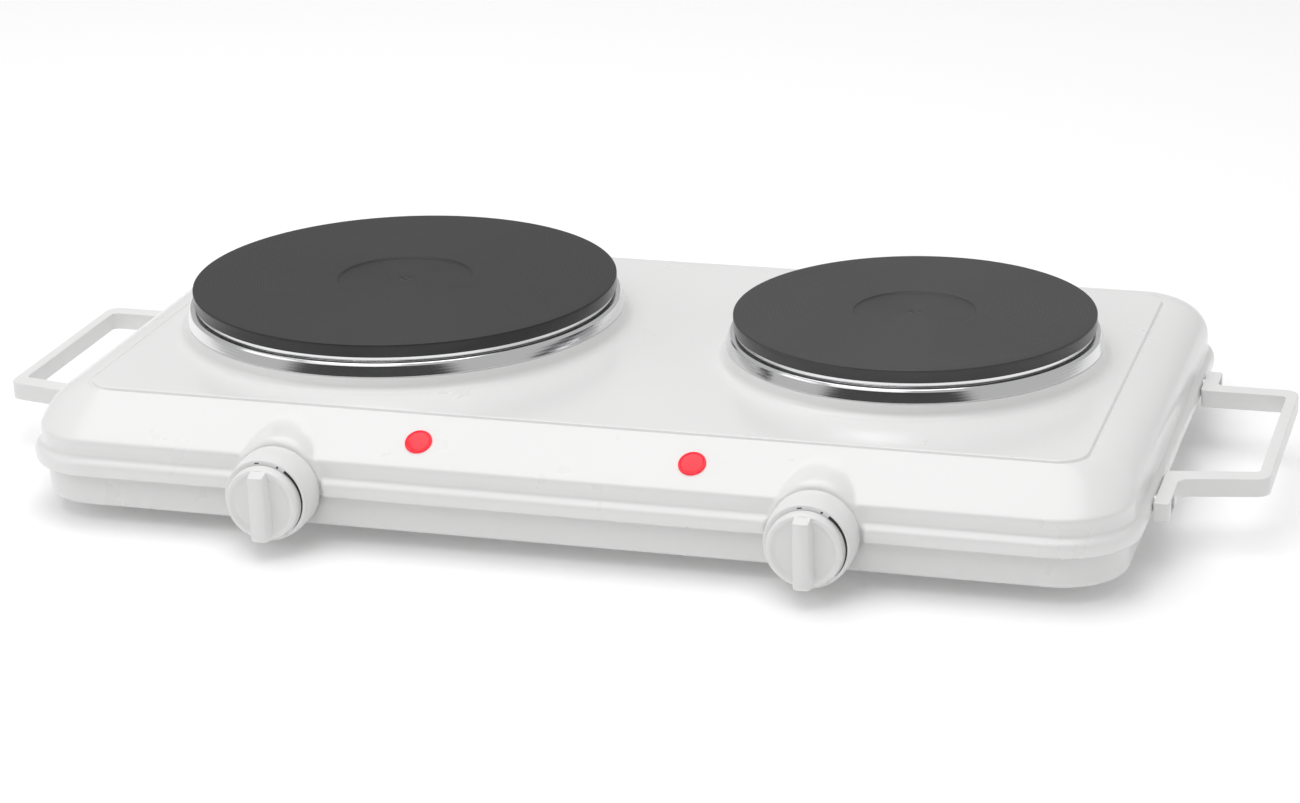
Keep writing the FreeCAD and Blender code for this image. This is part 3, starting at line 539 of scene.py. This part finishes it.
FRONT_REACH = 198.0
NEAR_HUMP = 25.0
FINE_STEP = 0.9
COARSE_STEP = 6.0
CORNER_STEPS = 16
SIDE_STEPS = 14
SHOULDER_STEPS = 36


def front_stations():
    """X of each column along the front, close together where the humps are."""
    stations = []
    x = -FRONT_REACH
    while x <= FRONT_REACH:
        stations.append(x)
        near = min(abs(x - knob.x) for knob in KNOBS.values())
        x += FINE_STEP if near < NEAR_HUMP else COARSE_STEP
    return stations


FRONT_STATIONS = front_stations()


def outline(half_x, front, back, radius, z):
    """One closed ring of a pressing: front columns, then the corners and sides in turn."""
    points = [Vector((x, front, z)) for x in FRONT_STATIONS]
    corners = [(half_x - radius, front + radius, -90), (half_x - radius, back - radius, 0),
               (radius - half_x, back - radius, 90), (radius - half_x, front + radius, 180)]
    for k, (cx, cy, first) in enumerate(corners):
        arc = []
        for step in range(CORNER_STEPS + 1):
            turn = math.radians(first + 90.0 * step / CORNER_STEPS)
            arc.append(Vector((cx + radius * math.cos(turn), cy + radius * math.sin(turn), z)))
        if k:
            start = points[-1]
            points += [start.lerp(arc[0], step / SIDE_STEPS) for step in range(1, SIDE_STEPS)]
        points += arc
    return points


def cover_levels():
    """Rings from the deck outwards and down to the lip, each as outline's arguments.

    The crease round the panel is (inset, drop), and the skirt, bead and lip are (out, z).
    """
    levels = []
    crease = ((2.0, 0.0), (1.2, 0.0), (0.8, 0.06), (0.55, 0.3), (0.4, 0.8), (0.2, 1.25), (-0.1, 1.35),
              (-0.4, 1.25), (-0.7, 0.98), (-1.0, 0.87))
    for inset, drop in crease:
        levels.append((PANEL_X - inset, PANEL_FRONT_Y + inset, PANEL_BACK_Y - inset, PANEL_R - inset / 2,
                       DECK_Z - drop))
    rise = DECK_Z - PANEL_STEP - EDGE_Z
    for k in range(1, SHOULDER_STEPS + 1):
        turn = math.radians(90.0 * k / SHOULDER_STEPS)
        out = PANEL_IN_X * math.sin(turn)
        z = EDGE_Z + rise * math.cos(turn)
        straight = (DECK_Z - z) / math.tan(BAND_SLOPE)
        run = soft_min(straight, PANEL_FRONT_Y - FRONT_Y, EDGE_SOFTNESS)
        radius = PANEL_R + (WALL_R - PANEL_R) * math.sin(turn)
        levels.append((PANEL_X + out, PANEL_FRONT_Y - run, PANEL_BACK_Y + out, radius, z))
    bead = [(0.0, EDGE_Z - 1.2), (0.0, EDGE_Z - 2.4), (0.0, EDGE_Z - 4.0), (0.0, SKIRT_Z + 0.5),
            (0.05, SKIRT_Z - 0.2), (0.22, SKIRT_Z - 0.8), (0.55, SKIRT_Z - 1.3), (1.05, SKIRT_Z - 1.75),
            (1.65, SKIRT_Z - 2.1), (2.2, SKIRT_Z - 2.5), (2.7, SKIRT_Z - 3.1), (3.05, SKIRT_Z - 3.9),
            (BEAD_OUT, BEAD_Z), (3.2, LIP_Z + 2.4), (3.0, LIP_Z + 1.2), (2.85, LIP_Z + 0.5), (2.55, LIP_Z)]
    for out, z in bead:
        levels.append((WALL_X + out, FRONT_Y - out, BACK_Y + out, WALL_R + out, z))
    return levels


def with_humps(point):
    """Push a point of the front out to the pressing round the nearest knob.

    The point moves along its ray from a root line behind the hump, to the flat face in front or
    to the flaring cone above, whichever is nearer.
    """
    knob = min(KNOBS.values(), key=lambda k: abs(point.x - k.x))
    side = point.x - knob.x
    if abs(side) > HUMP_R + HUMP_MARGIN or point.y > PANEL_FRONT_Y + 1:
        return point
    ray = Vector((point.y - HUMP_ROOT_Y, point.z - knob.z))
    base = ray.length
    if base < 1e-6:
        return point
    ray.normalize()
    to_face = (HUMP_FACE_Y - HUMP_ROOT_Y) / ray.x if ray.x < -1e-6 else 1e3
    radius = HUMP_R + HUMP_FLARE * max(point.y - FRONT_Y, 0.0)
    height = math.sqrt(max(radius ** 2 - side ** 2, 0.0))
    to_top = height / ray.y if ray.y > 1e-6 else 1e3
    reach = soft_min(to_face, to_top, HUMP_EDGE)
    if point.z > EDGE_Z:
        far = soft_max(base, reach, HUMP_BLEND)
    else:
        off_axis = math.hypot(side, point.z - knob.z)
        inside = ease((HUMP_R + 0.4 - off_axis) / 1.6)
        far = base + (to_face - base) * inside
    moved = Vector((HUMP_ROOT_Y, knob.z)) + ray * far
    return Vector((point.x, moved.x, moved.y))


def collar_profile(plate):
    """From the deck up the collar's concave side, over its top and down inside the hole."""
    r = plate["r"]
    top = r + RING_FLARE
    foot = r + COLLAR_FOOT
    corners = [(foot + 1.4, DECK_Z, 0), (top + 0.9, DECK_Z, 3.9), (top, COLLAR_TOP_Z, 0.9),
               (r - HOLE_IN, COLLAR_TOP_Z, 0.9), (r - HOLE_IN, DECK_Z - 3.0, 0)]
    return filleted(corners, 8)


def top_cover():
    """Pressed cover: rolled shoulder and skirt, humps for the knobs, a collar round each plate."""
    bm = bmesh.new()
    rings = []
    for level in cover_levels():
        rings.append([bm.verts.new(with_humps(point) * MM) for point in outline(*level)])
    for inner, outer in zip(rings, rings[1:]):
        join_rings(bm, outer, inner)
    borders = [rings[0]]
    for plate in PLATES:
        necks = lathe(bm, collar_profile(plate), upright(plate["x"], plate["y"]), COLLAR_SEGMENTS)
        borders.append(necks[0])
    edges = []
    for border in borders:
        edges += [bm.edges.get((border[k - 1], border[k])) for k in range(len(border))]
    bmesh.ops.triangle_fill(bm, edges=edges, use_beauty=True, normal=(0, 0, 1))
    data = finish_mesh(bm, "enamelled_cover", 60.0)
    sheet_metal(add_piece("enamelled_cover", data, ROOT, "cover_enamel", ENAMEL, "top_cover"))


# ---------------------------------------------------------------- plates and rings

def cooking_plate(plate):
    """Turned top with a shallow recess and a centre dimple, eased rim, rebated skirt."""
    r = plate["r"]
    top = plate["top"]
    recess = plate["recess"]
    dimple = [(0.0, top - 1.25, 0), (1.3, top - 1.2, 0.6), (3.0, top - 0.62, 1.0)]
    face = [(recess - 0.9, top - 0.6, 0.5), (recess - 0.1, top + 0.02, 0.4), (recess + 1.4, top, 0),
            (r - 6.0, top, 0)]
    rim = [(r, top, 0.6), (r, top - RIM_H, 0.3), (r - 4.5, top - RIM_H, 0)]
    skirt = [(r - 4.5, plate["bottom"], 0.5), (r - 9.5, plate["bottom"], 0)]
    turned_piece(plate["name"] + "_turned_plate", filleted(dimple + face + rim + skirt, 5),
                 upright(plate["x"], plate["y"]), ROOT, "plate_iron", IRON[plate["name"]],
                 plate["name"] + "_cooking_plate", segments=PLATE_SEGMENTS)


def trim_ring(plate):
    """Bright ring: neck under the plate's rim, round shoulder and a wall that leans outwards."""
    r = plate["r"]
    under = plate["top"] - RIM_H
    foot = r + RING_FLARE
    low = COLLAR_TOP_Z
    neck = [(r - 4.2, under - 0.8, 0), (r - 4.2, under, 0.15), (r - 1.3, under, 0.3),
            (r - 1.2, under - 1.8, 0.5)]
    shoulder = [(r + 1.3, under - 2.1, 1.0), (r + 2.0, under - 3.2, 1.2)]
    wall = [(foot, low + 0.3, 0.2), (foot - 0.2, low, 0.1), (foot - 1.2, low, 0)]
    turned_piece(plate["name"] + "_bright_ring", filleted(neck + shoulder + wall, 7),
                 upright(plate["x"], plate["y"]), ROOT, "ring_steel", STEEL[plate["name"]],
                 plate["name"] + "_trim_ring", segments=PLATE_SEGMENTS)


# ---------------------------------------------------------------- base tray and feet

VENT_ROWS = range(-2, 3)
VENT_PITCH = 16.0
VENT_OFFSET = 26.0
VENT_HALF_LONG = 16.0
VENT_HALF_WIDE = 2.0


def tray_levels():
    """Rings of the tray from its floor outwards and up its wall."""
    half_x = tray_high.x
    back = tray_high.y
    front = tray_low.y
    floor = tray_low.z
    top = tray_high.z
    corners = [(16.0, floor, 0), (0.0, floor, TRAY_EDGE_R), (0.0, top - 0.4, 0.4), (0.7, top - 0.2, 0)]
    levels = []
    for inset, z in filleted(corners, 6):
        radius = max(WALL_R - TRAY_IN - inset, 6.0)
        levels.append((half_x - inset, front + inset, back - inset, radius, z))
    return levels


def vent_outline(x, y, half_long, half_wide, steps=5):
    """Round-ended slot, as points in order."""
    points = []
    for side, first in ((1, -90), (-1, 90)):
        for step in range(steps + 1):
            turn = math.radians(first + 180.0 * step / steps)
            points.append((x + side * (half_long - half_wide) + half_wide * math.cos(turn),
                           y + half_wide * math.sin(turn)))
    return points


def base_tray():
    """Pressed tray: floor with rows of vents, tight lower edge and upright wall."""
    bm = bmesh.new()
    rings = []
    for level in tray_levels():
        rings.append([bm.verts.new(point * MM) for point in outline(*level)])
    for inner, outer in zip(rings, rings[1:]):
        join_rings(bm, outer, inner)
    borders = [rings[0]]
    for plate in PLATES:
        for row in VENT_ROWS:
            for side in (-1, 1):
                slot = vent_outline(plate["x"] + side * VENT_OFFSET, plate["y"] + row * VENT_PITCH,
                                    VENT_HALF_LONG, VENT_HALF_WIDE)
                borders.append([bm.verts.new(Vector((x, y, tray_low.z)) * MM) for x, y in slot])
    edges = []
    for border in borders:
        for k in range(len(border)):
            pair = (border[k - 1], border[k])
            edges.append(bm.edges.get(pair) or bm.edges.new(pair))
    bmesh.ops.triangle_fill(bm, edges=edges, use_beauty=True, normal=(0, 0, -1))
    data = finish_mesh(bm, "pressed_tray", 50.0)
    sheet_metal(add_piece("pressed_tray", data, ROOT, "tray_enamel", ENAMEL, "base_tray"))


def feet():
    """Four moulded rubber feet that widen upwards, each with a screw well and a ring groove."""
    low, high = box_mm("rubber_feet")
    radius = 9.0
    top = high.z
    well = [(0.0, 4.0, 0), (4.2, 4.0, 0.4), (4.2, 0.0, 0.6)]
    groove = [(5.4, 0.0, 0.3), (5.6, 0.5, 0.2), (6.0, 0.5, 0.2), (6.2, 0.0, 0.3)]
    wall = [(radius - 0.9, 0.0, 0.9), (radius - 0.6, 3.0, 2.0), (radius, top - 0.6, 0.5),
            (radius - 0.4, top, 0.0)]
    bm = bmesh.new()
    for x in (low.x + radius, high.x - radius):
        for y in (low.y + radius, high.y - radius):
            lathe(bm, filleted(well + groove + wall, 4), upright(x, y), 64)
    add_piece("moulded_feet", finish_mesh(bm, "moulded_feet"), ROOT, "black_rubber", RUBBER,
              "rubber_feet")


# ---------------------------------------------------------------- knobs, bezels and lamps

def bezel(side, axis):
    """Round bezel: drawn side with a soft front edge and a flat dial face."""
    front = axis.y
    rear = HUMP_FACE_Y
    face = [(3.7, front + 2.0, 0), (3.7, front, 0.3), (BEZEL_FACE_R, front, 0.7)]
    wall = [(BEZEL_R, front + 6.0, 8.0), (BEZEL_R, rear - 0.7, 0.25), (BEZEL_R - 0.9, rear - 0.7, 0.1),
            (BEZEL_R - 0.9, rear + 0.4, 0)]
    turned_piece(side + "_bezel_shell", filleted(face + wall, 6), facing_front(axis.x, axis.z), ROOT,
                 "knob_plastic", WHITE_PLASTIC, side + "_knob_bezel", segments=KNOB_SEGMENTS)


def dial_marks(side, axis):
    """Printed heat scale: a dash for off, a dot for low, and a wedge that tapers round to high."""
    bm = bmesh.new()
    to_space = facing_front(axis.x, axis.z)
    lift = axis.y - 0.04

    def strip(first, last, steps, width_at):
        """Band along the dial between two angles in degrees, as wide as width_at says."""
        inner, outer = [], []
        for step in range(steps + 1):
            share = step / steps
            turn = math.radians(first + (last - first) * share)
            half = width_at(share) / 2
            inner.append(bm.verts.new(to_space(DIAL_R - half, turn, lift)))
            outer.append(bm.verts.new(to_space(DIAL_R + half, turn, lift)))
        for k in range(steps):
            bm.faces.new((inner[k], inner[k + 1], outer[k + 1], outer[k]))

    strip(35.0, 135.0, 60, lambda share: 1.25 * (1 - share) ** 0.7 + 0.05)
    strip(22.0, 25.2, 3, lambda share: 0.8)
    strip(-12.0, -5.0, 4, lambda share: 0.5)
    name = side + "_dial_marks"
    add_piece(name, finish_mesh(bm, name), ROOT, "knob_plastic", INK)


def dished_disc(bm, axis, face):
    """Knob body: eased edge, raised rim and a dish that deepens towards the middle."""
    back = axis.y - 0.4
    corners = [(KNOB_R - 1.5, back + 0.05, 0), (KNOB_R, back, 0.3), (KNOB_R - 0.1, face + 1.6, 1.0),
               (KNOB_FACE_R - 0.15, face, 0.9), (KNOB_FACE_R - 1.5, face, 0.9),
               (KNOB_FACE_R - 3.2, face + 1.15, 1.6), (6.0, face + 1.95, 8.0), (0.0, face + 2.0, 0)]
    lathe(bm, filleted(corners, 6), facing_front(axis.x, axis.z), KNOB_SEGMENTS)


def grip_section(x, z, crest, root, half_top, half_root):
    """Half-trapezoid outline across the grip at one height, flared where it meets the dish."""
    depth = root - crest
    shape = [(-1.0, 1.0), (-0.62, 0.9), (-0.3, 0.68), (-0.1, 0.36), (-0.02, 0.12), (0.12, 0.0)]
    left = []
    for flare, down in shape:
        if flare <= 0:
            across = half_top + (half_root - half_top) * -flare
        else:
            across = half_top - flare * 7.0
        left.append((-across, crest + depth * down))
    points = left + [(-u, y) for u, y in reversed(left)]
    return [Vector((x + u, y, z)) * MM for u, y in points]


GRIP_HEIGHTS = (14.6, 14.2, 13.8, 13.4, 12.9, 10.0, 7.0, 4.0, 0.0, -4.0, -7.0, -9.0, -11.0, -12.6,
                -13.8, -14.6, -15.2)
SLOPE_FROM = 12.9
SLOPE_LENGTH = 1.7
SKIRT_FROM = 5.0
SKIRT_LENGTH = 9.0
NOSE_FROM = 13.0
NOSE_LENGTH = 2.2
NOSE_DROP = 1.1


def grip(bm, axis, face, crest):
    """Upright bar: sloping upper end, full height below, and skirts that widen at the lower rim."""
    root = face + 2.3
    rings = []
    for height in GRIP_HEIGHTS:
        upper_end = ease((height - SLOPE_FROM) / SLOPE_LENGTH)
        lower_end = ease((-height - SKIRT_FROM) / SKIRT_LENGTH)
        front = crest + (face + 0.3 - crest) * upper_end
        if height < -NOSE_FROM:
            front += NOSE_DROP * ((-NOSE_FROM - height) / NOSE_LENGTH) ** 2
        half_top = GRIP_HALF_W - 0.25
        half_root = GRIP_HALF_W + 0.8 + 4.2 * lower_end
        behind = root + (axis.y - 0.6 - root) * lower_end
        rings.append([bm.verts.new(p) for p in grip_section(axis.x, axis.z + height, front, behind,
                                                            half_top, half_root)])
    for upper, lower in zip(rings, rings[1:]):
        for k in range(len(upper) - 1):
            bm.faces.new((upper[k], upper[k + 1], lower[k + 1], lower[k]))
    bm.faces.new(list(reversed(rings[0])))
    bm.faces.new(rings[-1])


def knob(side, axis):
    """Turning knob: a dished disc with a bar across it."""
    low = box_mm(side + "_knob")[0]
    face = low.y + 4.5
    bm = bmesh.new()
    dished_disc(bm, axis, face)
    grip(bm, axis, face, low.y)
    name = side + "_grip_knob"
    piece = add_piece(name, finish_mesh(bm, name, 50.0), side + "_knob_assembly", "knob_plastic",
                      WHITE_PLASTIC, side + "_knob")
    ease_edges(piece, 0.35, 50.0)


def lamp(side):
    """Shallow lens inside a rolled rim, square to the sloping band."""
    low, high = box_mm(side + "_lamp_lens")
    axis = Vector((0.0, -math.sin(BAND_SLOPE), math.cos(BAND_SLOPE)))
    across = Vector((1.0, 0.0, 0.0))
    up_band = axis.cross(across)
    x = (low.x + high.x) / 2
    y = FRONT_Y + LAMP_FROM_FRONT
    seat = Vector((x, y, EDGE_Z + LAMP_FROM_FRONT * math.tan(BAND_SLOPE)))

    def to_space(radius, turn, lift):
        sideways = across * (radius * math.cos(turn))
        upwards = up_band * (radius * math.sin(turn))
        return (seat + sideways + upwards + axis * lift) * MM

    window = [(0.0, 1.15, 0), (2.6, 1.05, 9.0), (4.6, 0.75, 0.3), (4.85, 0.35, 0.15)]
    rim = [(5.05, 0.9, 0.2), (LENS_R, 0.8, 0.4), (LENS_R, -1.2, 0)]
    turned_piece(side + "_lamp_window", filleted(window + rim, 5), to_space, ROOT, "lens_red", LENS,
                 side + "_lamp_lens", segments=96)


# ---------------------------------------------------------------- handles

def rounded_path(corners, steps=6):
    """Closed outline through (x, y, radius) corners."""
    count = len(corners)
    points = []
    for k in range(count):
        points += filleted([corners[k - 1], corners[k], corners[(k + 1) % count]], steps)[1:-1]
    return points


def handle(side, sign):
    """Moulded bow with eased edges and a screw pocket in each foot."""
    low, high = box_mm(side + "_handle")
    x0, x1 = sorted((abs(low.x), abs(high.x)))
    foot = x0 + 6.5
    bar = x1 - 5.0
    front = low.y + 36.0
    back = high.y - 17.0
    slant = 7.0
    arm = 8.0
    outside = [(x0, low.y, 0.8), (foot, low.y, 1.4), (foot, front - slant, 6.0), (x1, front, 6.0),
               (x1, back, 6.0), (foot, back, 3.0), (foot, high.y, 1.4), (x0, high.y, 0.8)]
    inside = [(x0, back - arm, 2.5), (bar, back - arm, 2.5), (bar, front + arm, 2.5),
              (x0, front + arm - slant, 2.5)]
    path = rounded_path(outside + inside)
    bm = bmesh.new()
    rings = []
    for z in (low.z, high.z):
        rings.append([bm.verts.new(Vector((sign * x, y, z)) * MM) for x, y in path])
    join_rings(bm, rings[0], rings[1])
    bm.faces.new(rings[0])
    bm.faces.new(list(reversed(rings[1])))
    name = side + "_bow_handle"
    data = finish_mesh(bm, name, 30.0)
    piece = add_piece(name, data, ROOT, "handle_plastic", WHITE_PLASTIC, side + "_handle")
    pocket = foot_pockets(side, sign, x0)
    cut = piece.modifiers.new("pockets", "BOOLEAN")
    cut.operation = "DIFFERENCE"
    cut.solver = "EXACT"
    cut.object = pocket
    ease_edges(piece, 0.8, 40.0)
    bpy.context.view_layer.update()
    graph = bpy.context.evaluated_depsgraph_get()
    finished = bpy.data.meshes.new_from_object(piece.evaluated_get(graph))
    piece.modifiers.clear()
    piece.data = finished
    bpy.data.objects.remove(pocket)


def foot_pockets(side, sign, x0):
    """Cutter for the wells that take the two screw heads of a handle."""
    web = 3.2
    length = 8.8
    depth = 6.0
    height = 6.0
    head_r = 2.8
    bm = bmesh.new()
    low, high = box_mm("handle_screws")
    middle_z = (low.z + high.z) / 2
    for y in (low.y + head_r, high.y - head_r):
        well = bmesh.ops.create_cube(bm, size=1.0)["verts"]
        for vert in well:
            vert.co.x = sign * (x0 + web + (vert.co.x + 0.5) * depth) * MM
            vert.co.y = (y + vert.co.y * length) * MM
            vert.co.z = (middle_z + vert.co.z * height) * MM
    bmesh.ops.recalc_face_normals(bm, faces=bm.faces)
    data = bpy.data.meshes.new(side + "_pockets")
    bm.to_mesh(data)
    bm.free()
    cutter = bpy.data.objects.new(side + "_pockets", data)
    bpy.context.scene.collection.objects.link(cutter)
    return cutter


# ---------------------------------------------------------------- camera, light and floor

CAMERA_PLACE = Vector((421.90, -1377.27, 545.49)) * MM
CAMERA_AZIMUTH = math.radians(16.748)
CAMERA_ELEVATION = math.radians(19.796)
CAMERA_ROLL = math.radians(-1.525)
CAMERA_LENS = 97.09
WORLD_STRENGTH = 0.53
DARK_STRENGTH = 0.06
DARK_TOWARDS = Vector((0.03, -0.95, -0.33)).normalized()


def make_camera():
    """Camera at its place, turned by azimuth, elevation and roll."""
    data = bpy.data.cameras.new("camera")
    data.lens = CAMERA_LENS
    data.sensor_width = 36.0
    data.clip_start = 0.05
    data.clip_end = 50.0
    back = Vector((math.sin(CAMERA_AZIMUTH) * math.cos(CAMERA_ELEVATION),
                   -math.cos(CAMERA_AZIMUTH) * math.cos(CAMERA_ELEVATION), math.sin(CAMERA_ELEVATION)))
    right = Vector((0, 0, 1)).cross(back).normalized()
    up = back.cross(right)
    rolled_right = right * math.cos(CAMERA_ROLL) + up * math.sin(CAMERA_ROLL)
    rolled_up = up * math.cos(CAMERA_ROLL) - right * math.sin(CAMERA_ROLL)
    turn = Matrix((rolled_right, rolled_up, back)).transposed().to_4x4()
    camera = bpy.data.objects.new("camera", data)
    camera.matrix_world = Matrix.Translation(CAMERA_PLACE) @ turn
    bpy.context.scene.collection.objects.link(camera)
    bpy.context.scene.camera = camera


def area_light(name, where, size, power):
    """Rectangular soft box, in metres, that faces the origin."""
    data = bpy.data.lights.new(name, "AREA")
    data.shape = "RECTANGLE"
    data.size, data.size_y = size
    data.energy = power
    light = bpy.data.objects.new(name, data)
    light.location = where
    light.rotation_mode = "QUATERNION"
    light.rotation_quaternion = Vector(where).to_track_quat("Z", "Y")
    bpy.context.scene.collection.objects.link(light)


def make_studio():
    """Even white room, darker in front of the object, with soft boxes above."""
    world = bpy.data.worlds.new("studio")
    world.use_nodes = True
    nodes = world.node_tree.nodes
    links = world.node_tree.links
    direction = nodes.new("ShaderNodeTexCoord").outputs["Generated"]
    towards = nodes.new("ShaderNodeVectorMath")
    towards.operation = "DOT_PRODUCT"
    towards.inputs[1].default_value = DARK_TOWARDS
    links.new(direction, towards.inputs[0])
    shade = nodes.new("ShaderNodeMapRange")
    shade.interpolation_type = "SMOOTHSTEP"
    shade.inputs["From Min"].default_value = math.cos(math.radians(56))
    shade.inputs["From Max"].default_value = math.cos(math.radians(46))
    shade.inputs["To Min"].default_value = WORLD_STRENGTH
    shade.inputs["To Max"].default_value = DARK_STRENGTH
    links.new(towards.outputs["Value"], shade.inputs["Value"])
    links.new(shade.outputs["Result"], nodes["Background"].inputs["Strength"])
    nodes["Background"].inputs["Color"].default_value = (1.0, 1.0, 1.0, 1.0)
    bpy.context.scene.world = world
    bpy.context.scene.view_settings.view_transform = "Standard"
    area_light("overhead", (-0.2, -0.1, 1.9), (2.4, 1.8), 23.0)
    area_light("front_key", (-0.5, -1.5, 1.9), (1.8, 1.0), 4.0)
    area_light("left_box", (-2.0, -1.0, 1.1), (1.2, 1.0), 3.0)


def make_floor():
    """Pale floor under the object, in a grid of squares."""
    bm = bmesh.new()
    half = 6.0
    steps = 12
    rows = []
    for j in range(steps + 1):
        y = half * (2 * j / steps - 1)
        rows.append([bm.verts.new((half * (2 * k / steps - 1), y, 0.0)) for k in range(steps + 1)])
    for low, high in zip(rows, rows[1:]):
        for k in range(steps):
            bm.faces.new((low[k], low[k + 1], high[k + 1], high[k]))
    data = finish_mesh(bm, "floor")
    floor = bpy.data.objects.new("floor", data)
    bpy.context.scene.collection.objects.link(floor)
    made, tree, shader = material("pale_floor", (0.95, 0.95, 0.95), 0.9, specular=0.1)
    vary_roughness(tree, shader, noise(tree, 3.0), 0.85, 0.95)
    shader.inputs["Emission Color"].default_value = (1.0, 1.0, 1.0, 1.0)
    shader.inputs["Emission Strength"].default_value = 0.10
    dress(floor, made)


# ---------------------------------------------------------------- build

dress_frame()
top_cover()
for plate in PLATES:
    cooking_plate(plate)
    trim_ring(plate)
base_tray()
feet()
for knob_body, knob_axis in KNOBS.items():
    knob_side = knob_body.split("_")[0]
    bezel(knob_side, knob_axis)
    dial_marks(knob_side, knob_axis)
    knob(knob_side, knob_axis)
for end_side, end_sign in (("left", -1), ("right", 1)):
    lamp(end_side)
    handle(end_side, end_sign)
make_camera()
make_studio()
make_floor()
